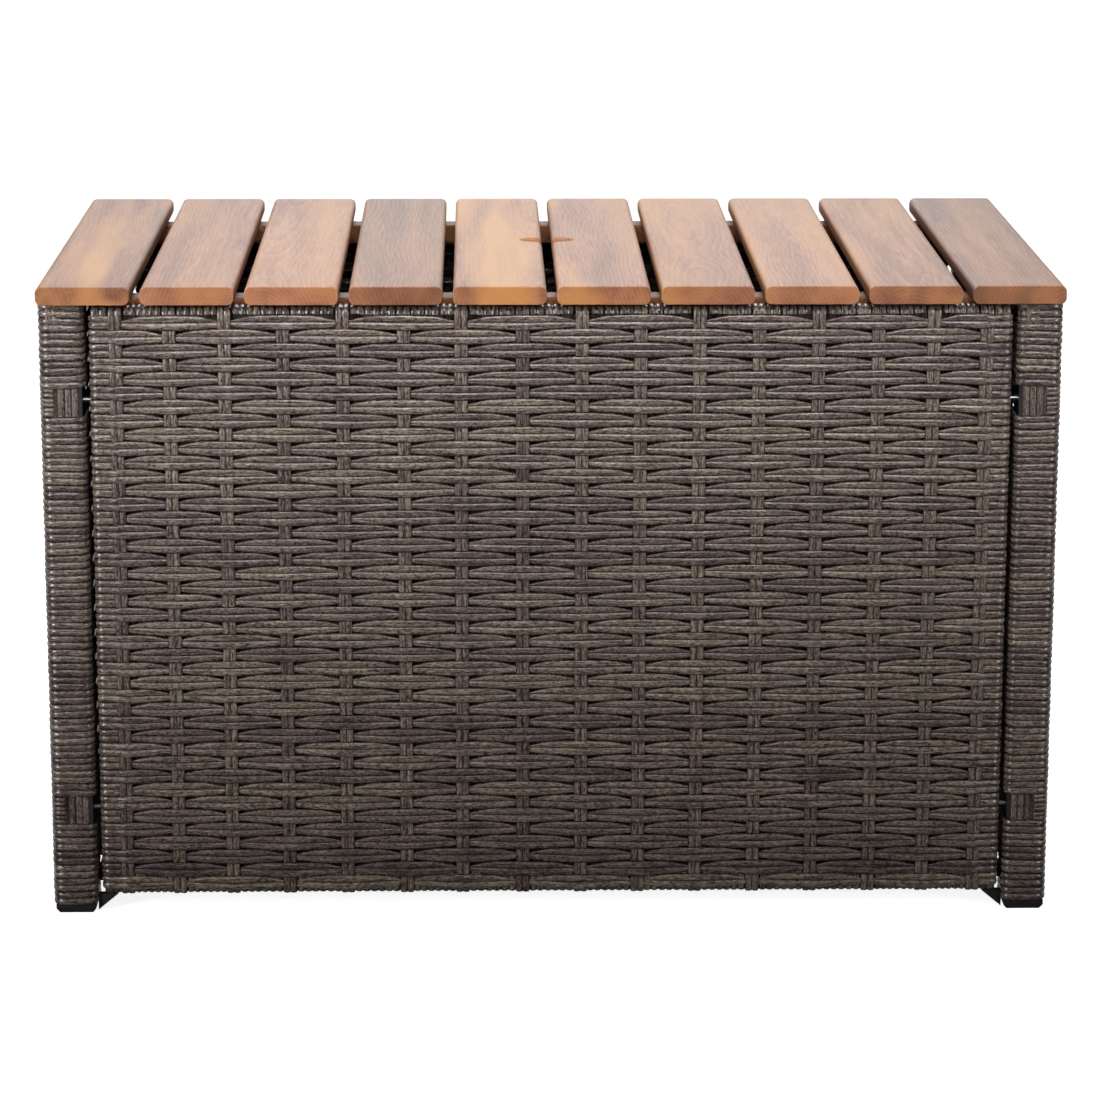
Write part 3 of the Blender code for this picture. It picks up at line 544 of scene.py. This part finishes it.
def wrap_post(label):
    tube_low, tube_high = (np.array(c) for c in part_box(f"leg_tube_{label}"))
    sleeve_low, sleeve_high = (np.array(c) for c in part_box(f"leg_wrap_{label}"))
    centre = (sleeve_low + sleeve_high) / 2
    half = (sleeve_high[0] - sleeve_low[0]) / 2
    low, high = sleeve_low[2], sleeve_high[2]
    side = -1 if "left" in label else 1
    end = -1 if "front" in label else 1
    outer_angle = math.atan2(end, side)
    turns = []
    for level, pitch, in_window in wrap_levels(low, high - 1.0 * MM):
        reach = WRAP_REACH + chance.uniform(-0.2, 0.2) * MM
        if in_window:
            angles = outer_angle + np.radians(np.linspace(-24, 24, 13))
        else:
            angles = np.arange(TURN_STEPS) / TURN_STEPS * math.tau
        flat = soft_square(angles, reach)
        tilt = 1.1 * MM * math.sin(level * 37 + outer_angle * 5)
        z = level + (0 if in_window else tilt) * np.sin(angles + 0.6)
        path = np.column_stack([centre[0] + flat[:, 0], centre[1] + flat[:, 1], z])
        turns.append(sweep(path, (0, 0, 1), pitch - 0.1 * MM, WRAP_THICKNESS, not in_window))
    make_woven_piece(f"leg_{label}_wrap", turns, f"leg_wrap_{label}")

    # Two upright strands on each of the two outer faces, seen through the windows.
    uprights = []
    z = np.linspace(low + 1 * MM, high - 8 * MM, UPRIGHT_STEPS)
    face = half - 2.3 * MM
    for offset in (-6.9 * MM, 6.9 * MM):
        x = centre[0] - side * 2.0 * MM + offset
        path = np.column_stack([np.full(len(z), x), np.full(len(z), centre[1] + end * face), z])
        uprights.append(sweep(path, (end, 0, 0), STRAND_WIDTH, UPRIGHT_THICKNESS))
        y = centre[1] - end * 2.0 * MM + offset
        path = np.column_stack([np.full(len(z), centre[0] + side * face), np.full(len(z), y), z])
        uprights.append(sweep(path, (0, -side, 0), STRAND_WIDTH, UPRIGHT_THICKNESS))
    # Three strands close the top of the post.
    for offset in (-13.0 * MM, 0.0, 13.0 * MM):
        reach, top = half - 1.6 * MM, high - 1.4 * MM
        bridge = [(-reach, high - 16 * MM), (-reach, top), (reach, top), (reach, high - 16 * MM)]
        flat = rounded_route(bridge, 6 * MM)
        path = np.column_stack([centre[0] + flat[:, 0], np.full(len(flat), centre[1] + offset), flat[:, 1]])
        uprights.append(sweep(path, (0, 1, 0), STRAND_WIDTH - 0.6 * MM, UPRIGHT_THICKNESS))
    # One upright strand comes out over the first turns of wrap and back into the top of the post.
    proud, top = half + 0.1 * MM, high - 1.2 * MM
    tuck = [(half - 2 * MM, high - 25 * MM), (proud, high - 20 * MM), (proud, top), (half - 8 * MM, top)]
    flat = rounded_route(tuck, 3.5 * MM)
    path = np.column_stack([np.full(len(flat), centre[0] - 8.2 * MM), centre[1] + end * flat[:, 0], flat[:, 1]])
    uprights.append(sweep(path, (end, 0, 0), STRAND_WIDTH, UPRIGHT_THICKNESS))
    make_woven_piece(f"leg_{label}_uprights", uprights, f"leg_wrap_{label}")


for label in ("front_left", "front_right", "back_left", "back_right"):
    wrap_post(label)


# %% [markdown]
# ## The woven floor mat
# The floor is the same weave laid flat on its steel frame. It is only seen with the lid open.

# %% Weave the floor
def weave_floor():
    low, high = (np.array(c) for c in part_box("floor_weave"))
    post_high = np.array(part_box("leg_wrap_front_left")[1])
    notch_x, notch_y = -post_high[0], -post_high[1]
    plane = (low[2] + high[2]) / 2
    spots = np.linspace(-notch_x + 20 * MM, notch_x - 20 * MM, 16)
    rows = int((high[1] - low[1]) // ROW_PITCH)
    pitch = (high[1] - low[1]) / rows
    strands = []
    for row in range(rows):
        y = low[1] + (row + 0.5) * pitch
        reach = notch_x - 2 * MM if abs(y) > notch_y - pitch / 2 else high[0] - 1 * MM
        side = np.where((np.arange(len(spots)) + row) % 2 == 0, 1.0, -1.0)
        xs = np.linspace(spots[0], spots[-1], 6 * (len(spots) - 1) + 1)
        sway = np.sin(np.interp(xs, spots, side) * math.pi / 2)
        xs = np.concatenate([[-reach], xs, [reach]])
        sway = np.concatenate([[0], sway, [0]])
        path = np.column_stack([xs, np.full(len(xs), y), plane + 1.0 * MM * sway])
        strands.append(sweep(path, (0, 1, 0), STRAND_WIDTH + 0.8 * MM * sway**2, 1.9 * MM))
    ys = np.linspace(low[1] + 2 * MM, high[1] - 2 * MM, 60)
    for spot in spots:
        path = np.column_stack([np.full(len(ys), spot), ys, np.full(len(ys), plane)])
        strands.append(sweep(path, (-1, 0, 0), STRAND_WIDTH - 0.4 * MM, 1.4 * MM))
    make_woven_piece("floor_mat", strands, "floor_weave")


weave_floor()


# %% [markdown]
# ## Acacia
# The lid's boards are oiled acacia, sawn flat: growth rings round a heart that lies below the board come out
# as long arches on its face and as slanting arcs on its ends. The rings are worked out in space, so face, edge
# and end agree. Fine fibres and short dark pores run along the board. Each board carries numbers of its own:
# a place in the log, how dark it is, and how golden.

# %% Material: oiled acacia
RING_WIDTH = 4 * MM


def make_wood_material(name, shades, roughness):
    """shades: four hex colours from pale early wood to dark late wood, then a golden one."""
    material, tree = new_material(name, shades[1])
    place = add_node(tree, "ShaderNodeTexCoord").outputs["Object"]
    board = add_node(tree, "ShaderNodeAttribute", {"attribute_name": "board"}).outputs["Vector"]
    own = add_node(tree, "ShaderNodeSeparateXYZ", None, {0: board})
    seed, dark, gold = own.outputs
    spread = add_node(tree, "ShaderNodeVectorMath", {"operation": "SCALE"}, {0: board, "Scale": seed}).outputs[0]
    moved = add_node(tree, "ShaderNodeVectorMath", {"operation": "ADD"}, {0: place, 1: spread}).outputs[0]

    # The heart of the log lies some 30 mm below the middle of the board and wanders up and aside along it.
    bend = stretched_noise(tree, moved, (6, 2.6, 6), 1.0)
    waver = stretched_noise(tree, moved, (70, 6, 70), 2.0)
    local = add_node(tree, "ShaderNodeAttribute", {"attribute_name": "heart"}).outputs["Vector"]
    local = add_node(tree, "ShaderNodeSeparateXYZ", None, {0: local}).outputs
    deep = add_maths(tree, "MULTIPLY_ADD", bend, 0.05, local[2])
    deep = add_maths(tree, "MULTIPLY_ADD", waver, 0.005, deep)
    aside = add_maths(tree, "MULTIPLY_ADD", bend, 0.03, local[0])
    rings_at = add_node(tree, "ShaderNodeCombineXYZ", None, {0: aside, 2: deep}).outputs[0]
    # At scale 1 the rings of this texture lie tau / 20 apart. Here they lie one year's growth apart.
    settings = {"wave_type": "RINGS", "rings_direction": "Y", "wave_profile": "SAW",
                "Scale": math.tau / 20 / RING_WIDTH, "Distortion": 1.6, "Detail": 4.0, "Detail Scale": 1.4}
    rings = add_node(tree, "ShaderNodeTexWave", settings, {"Vector": rings_at}).outputs["Fac"]

    # Fibres 0.8 mm across and 45 mm long, and pores 0.7 mm across and 9 mm long.
    fibres = stretched_noise(tree, moved, (1200, 22, 1200), 3.0)
    pores = stretched_noise(tree, moved, (1500, 110, 1500), 2.0)
    cloud = stretched_noise(tree, moved, (38, 2.6, 38), 3.0)

    # How dark the wood is: a little of the rings, most of the clouds and fibres, and the board's own number.
    mix = add_maths(tree, "MULTIPLY", rings, 0.12)
    for part, share in ((cloud, 0.62), (fibres, 0.48), (dark, 0.50)):
        mix = add_maths(tree, "MULTIPLY_ADD", part, share, mix)
    stops = [(0.42, shades[0]), (0.62, shades[1]), (0.82, shades[2]), (1.05, shades[3])]
    grain = add_node(tree, "ShaderNodeValToRGB", {"stops": stops}, {"Fac": mix}).outputs["Color"]
    warm = stretched_noise(tree, moved, (17, 1.6, 17), 2.0)
    warm = add_node(tree, "ShaderNodeMapRange", {"From Min": 0.42, "From Max": 0.62}, {"Value": warm}).outputs[0]
    warm = add_maths(tree, "MULTIPLY", warm, gold)
    tint = {"data_type": "RGBA", "blend_type": "MIX", 7: hex_colour(shades[4])}
    gilt = add_node(tree, "ShaderNodeMix", tint, {0: warm, 6: grain}).outputs[2]
    pore_shades = [(0.28, "#5b4436"), (0.37, "#ffffff")]
    pore = add_node(tree, "ShaderNodeValToRGB", {"stops": pore_shades}, {"Fac": pores}).outputs["Color"]
    settings = {"data_type": "RGBA", "blend_type": "MULTIPLY", 0: 0.7}
    face = add_node(tree, "ShaderNodeMix", settings, {6: gilt, 7: pore}).outputs[2]

    # A sawn end drinks more oil than the faces do, so it is darker.
    end = add_node(tree, "ShaderNodeAttribute", {"attribute_name": "sawn_end"}).outputs["Fac"]
    settings = {"data_type": "RGBA", "blend_type": "MULTIPLY", 7: hex_colour("#dcd2cc")}
    colour = add_node(tree, "ShaderNodeMix", settings, {0: end, 6: face}).outputs[2]

    low, high = roughness
    rough = add_node(tree, "ShaderNodeMapRange", {"To Min": low, "To Max": high}, {"Value": fibres}).outputs[0]
    height = add_maths(tree, "MULTIPLY_ADD", fibres, 0.5, pores)
    finish_surface(tree, colour, rough, height, 0.12 * MM, IOR=1.5)
    return material


SLAT_SHADES = ["#c39069", "#b07a56", "#8f5c40", "#66402d", "#c48b50"]
BATTEN_SHADES = ["#a8683c", "#935731", "#744226", "#4f2d1b", "#a96b35"]
slat_wood = make_wood_material("Oiled acacia, flat-sawn and sanded", SLAT_SHADES, (0.44, 0.62))
batten_wood = make_wood_material("Oiled acacia heartwood, planed", BATTEN_SHADES, (0.45, 0.62))
print("Materials:", slat_wood.name, "and", batten_wood.name)


# %% [markdown]
# ## The boards of the lid
# A slat is a plank with its long edges rounded over and its ends sawn square with a small arris. The two in the
# middle share a finger hole. Each is lofted from rings along its length: one ring is a rounded rectangle, and
# the side with the hole moves in and out. A weighted-normal modifier keeps the large faces flat to the eye.

# %% Cut the boards
EDGE_STEPS = 6
LEAST_RADIUS = 0.3 * MM


def board_ring(left, right, bottom, top, radius_left, radius_right):
    """A rounded rectangle as (x, z) points, from the lower left, counterclockwise as seen from the front."""
    corners = [
        (left, bottom, radius_left, 180), (right, bottom, radius_right, 270),
        (right, top, radius_right, 0), (left, top, radius_left, 90),
    ]
    points = []
    for x, z, radius, first in corners:
        centre = (x + radius * (1 if x == left else -1), z + radius * (1 if z == bottom else -1))
        for step in range(EDGE_STEPS + 1):
            angle = math.radians(first + 90 * step / EDGE_STEPS)
            points.append((centre[0] + radius * math.cos(angle), centre[1] + radius * math.sin(angle)))
    return points


def make_board(name, node, body, material, marks, radius, arris, along=1, hole=None):
    """A board in the box of its CAD node. along is the axis of its length. hole is (side, depth, half span)."""
    low, high = (np.array(c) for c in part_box(node))
    across = 1 - along
    stations = [(low[along], arris), (low[along] + 0.3 * arris, 0.3 * arris), (low[along] + arris, 0.0)]
    inner = np.linspace(low[along] + 20 * MM, high[along] - 20 * MM, 30)
    if hole:
        inner = np.sort(np.concatenate([inner, hole[2] * np.sin(np.linspace(-math.pi / 2, math.pi / 2, 25))]))
    stations += [(y, 0.0) for y in inner]
    stations += [(high[along] - arris, 0.0), (high[along] - 0.3 * arris, 0.3 * arris), (high[along], arris)]
    rings = []
    for y, inset in stations:
        cut = 0.0
        if hole and abs(y) < hole[2]:
            cut = hole[1] * math.sqrt(1 - (y / hole[2]) ** 2)
        # Along the hole the edge is sharper.
        soft = radius - min(cut, 3 * MM) * 0.8
        left = low[across] + inset + (cut if hole and hole[0] < 0 else 0)
        right = high[across] - inset - (cut if hole and hole[0] > 0 else 0)
        left_radius = soft if hole and hole[0] < 0 else radius
        right_radius = soft if hole and hole[0] > 0 else radius
        radii = [max(corner - inset, LEAST_RADIUS) for corner in (left_radius, right_radius)]
        ring = board_ring(left, right, low[2] + inset, high[2] - inset, *radii)
        rings.append([(x, y, z) if along == 1 else (y, x, z) for x, z in ring])
    shape = bmesh.new()
    loops = [[shape.verts.new(point) for point in ring] for ring in rings]
    count = len(loops[0])
    for ring, after in zip(loops, loops[1:]):
        for i in range(count):
            shape.faces.new((ring[i], ring[(i + 1) % count], after[(i + 1) % count], after[i]))
    shape.faces.new(loops[0][::-1])
    shape.faces.new(loops[-1])
    bmesh.ops.recalc_face_normals(shape, faces=shape.faces)
    mesh = bpy.data.meshes.new(name)
    shape.to_mesh(mesh)
    shape.free()
    mesh.shade_smooth()
    centre = (low + high) / 2
    seed, dark, gold, heart_x = marks
    numbers = mesh.attributes.new("board", "FLOAT_VECTOR", "POINT")
    numbers.data.foreach_set("vector", np.tile([seed, dark, gold], len(mesh.vertices)))
    places = np.empty(len(mesh.vertices) * 3)
    mesh.vertices.foreach_get("co", places)
    hearts = places.reshape(-1, 3) - centre + (heart_x if along == 1 else 0, 0, 0)
    heart = mesh.attributes.new("heart", "FLOAT_VECTOR", "POINT")
    heart.data.foreach_set("vector", hearts.ravel())
    sawn = np.zeros(len(mesh.vertices))
    sawn[:count] = sawn[-count:] = 1.0
    mesh.attributes.new("sawn_end", "FLOAT", "POINT").data.foreach_set("value", sawn)
    piece = link_piece(name, mesh, body, [node], material)
    weighted = piece.modifiers.new("Flat faces stay flat", "WEIGHTED_NORMAL")
    weighted.weight = 100
    weighted.keep_sharp = False
    return piece


# (place in the log, how dark, how golden, heart aside in metres) for the ten slats from left to right
SLAT_MARKS = [
    (1.3, 0.46, 0.90, 0.070), (2.9, 0.23, 0.30, -0.060), (4.1, 0.20, 0.45, 0.012), (5.7, 0.54, 0.20, 0.065),
    (7.2, 0.30, 1.00, -0.055), (8.8, 0.30, 0.80, 0.050), (10.1, 0.30, 0.60, -0.010), (11.9, 0.17, 0.60, 0.060),
    (13.3, 0.42, 0.60, -0.020), (14.6, 0.58, 0.30, -0.070),
]
SLAT_EDGE_RADIUS = 6.0 * MM
HOLE_HALF_WIDTH = 26.5 * MM
HOLE_HALF_SPAN = 15.0 * MM
slat_boxes = {name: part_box(name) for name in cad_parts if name.startswith("slat_")}
gap_half = slat_boxes["slat_06"][0][0]
hole_depth = HOLE_HALF_WIDTH - gap_half
holes = {5: (1, hole_depth, HOLE_HALF_SPAN), 6: (-1, hole_depth, HOLE_HALF_SPAN)}
for number, marks in enumerate(SLAT_MARKS, 1):
    make_board(f"slat_{number:02d}_board", f"slat_{number:02d}", "lid", slat_wood, marks,
               SLAT_EDGE_RADIUS, 0.9 * MM, hole=holes.get(number))
for number, end in enumerate(("front", "back")):
    make_board(f"batten_{end}_board", f"lid_batten_{end}", "lid", batten_wood,
               (21.0 + 3 * number, 0.4, 0.5, 0.0), 2.0 * MM, 0.8 * MM, along=0)
print("Boards:", len(SLAT_MARKS) + 2)


# %% [markdown]
# ## Metal and plastic
# The frames are steel tube under black powder coat: a matt black skin with the fine dimples of melted powder.
# Hinges, bolts and stays are zinc-plated steel, which is a dull silver with faint crystal clouds. The feet are
# moulded polypropylene with a light grain.

# %% Materials: powder coat, zinc plate, polypropylene
def make_plain_material(name, dark, light, cell, depth, roughness, **constants):
    """A material of one colour with faint clouds and a fine relief. cell is the size of its relief in metres."""
    material, tree = new_material(name, dark)
    place = add_node(tree, "ShaderNodeTexCoord").outputs["Object"]
    clouds = stretched_noise(tree, place, (45, 45, 45), 4.0)
    relief = stretched_noise(tree, place, (1 / cell, 1 / cell, 1 / cell), 2.0)
    stops = [(0.35, dark), (0.65, light)]
    colour = add_node(tree, "ShaderNodeValToRGB", {"stops": stops}, {"Fac": clouds}).outputs["Color"]
    low, high = roughness
    rough = add_node(tree, "ShaderNodeMapRange", {"To Min": low, "To Max": high}, {"Value": clouds}).outputs[0]
    finish_surface(tree, colour, rough, relief, depth, **constants)
    return material


powder_coat = make_plain_material(
    "Powder-coated steel, matt black", "#141516", "#1e1f20", 0.9 * MM, 0.05 * MM, (0.42, 0.58))
zinc_plate = make_plain_material(
    "Zinc-plated steel", "#8d9093", "#a9acae", 0.6 * MM, 0.02 * MM, (0.32, 0.50), Metallic=1.0)
foot_plastic = make_plain_material(
    "Moulded polypropylene, black", "#0e0e0e", "#161616", 0.5 * MM, 0.04 * MM, (0.45, 0.6))
SLOT_MATERIALS = {
    "woven_rattan": strand_material, "slat_wood": slat_wood, "batten_wood": batten_wood,
    "frame_steel": powder_coat, "zinc_steel": zinc_plate, "foot_plastic": foot_plastic,
}


def slot_of(node):
    if node.startswith("leg_foot"):
        return "foot_plastic"
    if node.startswith(("panel_bolt", "hinge", "stay")):
        return "zinc_steel"
    return "frame_steel"


for name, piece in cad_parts.items():
    if name.startswith(("slat", "lid_batten")) or name.endswith("_weave") or name.startswith("leg_wrap"):
        continue
    for slot in piece.material_slots:
        slot.material = SLOT_MATERIALS[slot_of(name)]
    bevel = piece.modifiers.new("Soft edges", "BEVEL")
    bevel.width = 0.35 * MM
    bevel.segments = 2
    bevel.limit_method = "ANGLE"
    bevel.angle_limit = math.radians(40)
print("Plain parts finished")


# %% [markdown]
# ## Screws
# The slats are screwed to the battens from below, and the hinge leaves and the brackets of the stays are screwed
# down too. A head is a low dome with a cross recess. It is spun from rings of points, and the innermost rings
# follow the outline of the cross, so the recess is real geometry and needs no Boolean.

# %% Drive the screws
HEAD_RADIUS = 3.6 * MM
RECESS_REACH = 1.9 * MM
RECESS_HALF_WIDTH = 0.42 * MM
# (share of the head's radius, height) from the rim inwards, then (share of the cross, height)
HEAD_RINGS = [(1.0, -0.05 * MM), (1.0, 0.15 * MM), (0.92, 0.32 * MM), (0.68, 0.46 * MM)]
CROSS_RINGS = [(1.0, 0.5 * MM), (0.85, 0.08 * MM)]
CORNER = math.degrees(math.atan2(RECESS_HALF_WIDTH, RECESS_REACH))
QUARTER = (0, CORNER, 28, 45, 62, 90 - CORNER)
HEAD_ANGLES = [math.radians(turn + step) for turn in (0, 90, 180, 270) for step in QUARTER]
LEAF_THICKNESS = 2.0 * MM
FLANGE_THICKNESS = 2.5 * MM
BRACKET_THICKNESS = 3.0 * MM
SLAT_SCREW_ASIDE = 22 * MM
BATTEN_END_INSET = 12 * MM
HINGE_SCREW_ASIDE = 20 * MM
BRACKET_SCREW_INSET = 6 * MM


def cross_radius(angle):
    """How far the cross recess reaches at this angle."""
    longer, shorter = sorted((abs(math.cos(angle)), abs(math.sin(angle))), reverse=True)
    across_arm = RECESS_HALF_WIDTH / max(shorter, 1e-6)
    along_arm = min(RECESS_REACH / longer, across_arm)
    return max(along_arm, min(RECESS_REACH / max(shorter, 1e-6), RECESS_HALF_WIDTH / longer))


def add_screws(name, body, spots):
    """One mesh of screw heads. spots: (position, the way that the head looks)."""
    shape = bmesh.new()
    for number, (position, look) in enumerate(spots):
        place = Matrix.Translation(position) @ Vector(look).to_track_quat("Z", "Y").to_matrix().to_4x4()
        place = place @ Matrix.Rotation(math.radians(37 * number), 4, "Z")
        radii = [(lambda angle, share=share: share * HEAD_RADIUS, z) for share, z in HEAD_RINGS]
        radii += [(lambda angle, share=share: share * cross_radius(angle), z) for share, z in CROSS_RINGS]
        rings = []
        for radius, z in radii:
            flat = [(radius(a) * math.cos(a), radius(a) * math.sin(a), z) for a in HEAD_ANGLES]
            rings.append([shape.verts.new(place @ Vector(point)) for point in flat])
        count = len(HEAD_ANGLES)
        for outer, inner in zip(rings, rings[1:]):
            for i in range(count):
                shape.faces.new((outer[i], outer[(i + 1) % count], inner[(i + 1) % count], inner[i]))
        shape.faces.new(rings[0][::-1])
        shape.faces.new(rings[-1])
    mesh = bpy.data.meshes.new(name)
    shape.to_mesh(mesh)
    shape.free()
    link_piece(name, mesh, body, [], zinc_plate)
    print(f"{name}: {len(spots)} screws")


lid_spots = []
for end in ("front", "back"):
    low, high = (np.array(c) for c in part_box(f"lid_batten_{end}"))
    middle = (low[1] + high[1]) / 2
    for slat_low, slat_high in slat_boxes.values():
        centre = (slat_low[0] + slat_high[0]) / 2
        reach = high[0] - BATTEN_END_INSET
        pair = {float(np.clip(centre + aside, -reach, reach)) for aside in (-SLAT_SCREW_ASIDE, SLAT_SCREW_ASIDE)}
        for x in sorted(pair):
            lid_spots.append(((x, middle, low[2]), (0, 0, -1)))
box_spots = []
for label, side in (("left", -1), ("right", 1)):
    low, high = (np.array(c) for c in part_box(f"hinge_lid_leaf_{label}"))
    centre = (low[0] + high[0]) / 2
    for aside in (-HINGE_SCREW_ASIDE, 0.0, HINGE_SCREW_ASIDE):
        lid_spots.append(((centre + aside, low[1] + 8 * MM, high[2] - LEAF_THICKNESS), (0, 0, -1)))
    low, high = (np.array(c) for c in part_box(f"hinge_body_leaf_{label}"))
    for aside in (-HINGE_SCREW_ASIDE, 0.0, HINGE_SCREW_ASIDE):
        z = low[2] + (20 * MM if aside == 0 else 8 * MM)
        box_spots.append(((centre + aside, low[1] + LEAF_THICKNESS, z), (0, 1, 0)))
    low, high = (np.array(c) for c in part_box(f"stay_lid_bracket_{label}"))
    inner = low[0] if side > 0 else high[0]
    for y in (low[1] + BRACKET_SCREW_INSET, high[1] - BRACKET_SCREW_INSET):
        lid_spots.append(((inner + side * 7 * MM, y, high[2] - FLANGE_THICKNESS), (0, 0, -1)))
    low, high = (np.array(c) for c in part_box(f"stay_side_bracket_{label}"))
    outer = high[0] if side > 0 else low[0]
    for y in (low[1] + BRACKET_SCREW_INSET, high[1] - BRACKET_SCREW_INSET):
        box_spots.append(((outer - side * BRACKET_THICKNESS, y, high[2] - 10 * MM), (-side, 0, 0)))
add_screws("lid_screws", "lid", lid_spots)
add_screws("box_screws", "box", box_spots)


# %% [markdown]
# ## Camera
# The box is seen from the front, a little left of its middle and from above, with a long lens.

# %% Set the camera
camera_data = bpy.data.cameras.new("Camera")
camera_data.sensor_width = 36.0
camera_data.lens = 128.637818
camera_data.clip_end = 60
camera = bpy.data.objects.new("Camera", camera_data)
camera.location = (-0.0726, cad_box[0][1] - 3.7583, 1.2760)
aim = Euler((math.radians(90 - 13.4361), 0, math.radians(-1.0820))).to_matrix()
camera.rotation_euler = (aim @ Matrix.Rotation(math.radians(0.0921), 3, "Z")).to_euler()
bpy.context.scene.collection.objects.link(camera)
bpy.context.scene.camera = camera
print("Lens in mm:", round(camera_data.lens, 1))


# %% [markdown]
# ## Light and floor
# A long softbox hangs above and in front of the box, so the top of each ridge of the weave is bright and the
# face darkens towards the ground. Two tall softboxes light the rounded posts from the sides, and a large one
# stands behind and gives the lid its sheen. The walls are bright behind the box and dim in front. The floor is
# pale and lit from below, as a studio table is, and it doesn't throw light back up at the box.

# %% Light the scene
def add_softbox(name, location, target, size, power, spread):
    light = bpy.data.lights.new(name, "AREA")
    light.shape = "RECTANGLE"
    light.size, light.size_y = size
    light.energy = power
    light.spread = math.radians(spread)
    lamp = bpy.data.objects.new(name, light)
    lamp.location = location
    lamp.rotation_euler = (Vector(target) - Vector(location)).to_track_quat("-Z", "Y").to_euler()
    bpy.context.scene.collection.objects.link(lamp)


add_softbox("Softbox above the front", (0.0, -1.5, 1.6), (0, -0.3, 1.0), (1.8, 0.3), 5.7, 58)
add_softbox("Softbox left", (-1.8, -1.7, 1.05), (-0.35, -0.3, 0.80), (0.35, 1.4), 7.2, 60)
add_softbox("Softbox right", (1.8, -1.7, 1.05), (0.35, -0.3, 0.80), (0.35, 1.4), 3.6, 60)
add_softbox("Softbox behind", (0.0, 2.4, 1.7), (0, 0.2, 0.3), (2.0, 1.0), 21, 180)

world = bpy.data.worlds.new("Studio walls")
bpy.context.scene.world = world
world.use_nodes = True
tree = world.node_tree
tree.nodes.clear()
direction = add_node(tree, "ShaderNodeTexCoord").outputs["Generated"]
parts = add_node(tree, "ShaderNodeSeparateXYZ", None, {0: direction}).outputs
backwall = {"From Min": -0.1, "From Max": 0.5, "To Min": 0.0, "To Max": 1.0, "interpolation_type": "SMOOTHSTEP"}
wall = add_node(tree, "ShaderNodeMapRange", backwall, {"Value": parts[1]}).outputs[0]
height = {"From Min": 0.3, "From Max": 0.75, "To Min": 1.2, "To Max": 0.14, "interpolation_type": "SMOOTHSTEP"}
sky = add_node(tree, "ShaderNodeMapRange", height, {"Value": parts[2]}).outputs[0]
bright = add_node(tree, "ShaderNodeMath", {"operation": "MULTIPLY_ADD", 2: 0.07}, {0: wall, 1: sky}).outputs[0]
ground = {"From Min": -0.12, "From Max": 0.02, "To Min": 0.3, "To Max": 1.0, "interpolation_type": "SMOOTHSTEP"}
above = add_node(tree, "ShaderNodeMapRange", ground, {"Value": parts[2]}).outputs[0]
strength = add_node(tree, "ShaderNodeMath", {"operation": "MULTIPLY"}, {0: bright, 1: above}).outputs[0]
background = add_node(tree, "ShaderNodeBackground", {"Color": hex_colour("#ffffff")}, {"Strength": strength})
add_node(tree, "ShaderNodeOutputWorld", None, {"Surface": background.outputs[0]})
bpy.context.scene.view_settings.view_transform = "Standard"

shape = bmesh.new()
bmesh.ops.create_grid(shape, x_segments=8, y_segments=8, size=14)
floor_mesh = bpy.data.meshes.new("studio_floor")
shape.to_mesh(floor_mesh)
shape.free()
studio_floor = bpy.data.objects.new("studio_floor", floor_mesh)
bpy.context.scene.collection.objects.link(studio_floor)
paper, tree = new_material("Backlit matt acrylic table, white", "#f2f2f2")
place = add_node(tree, "ShaderNodeTexCoord").outputs["Object"]
haze = stretched_noise(tree, place, (2, 2, 2), 2.0)
stops = [(0.3, "#f0f0f0"), (0.7, "#f5f5f5")]
colour = add_node(tree, "ShaderNodeValToRGB", {"stops": stops}, {"Fac": haze}).outputs["Color"]
rough = add_node(tree, "ShaderNodeMapRange", {"To Min": 0.8, "To Max": 0.9}, {"Value": haze}).outputs[0]
glow = {"Emission_Color": hex_colour("#ffffff"), "Emission_Strength": 0.85}
finish_surface(tree, colour, rough, haze, 0.1 * MM, **glow)
floor_mesh.materials.append(paper)
studio_floor.visible_diffuse = False
studio_floor.visible_glossy = False
print("Lights:", len(bpy.data.lights))
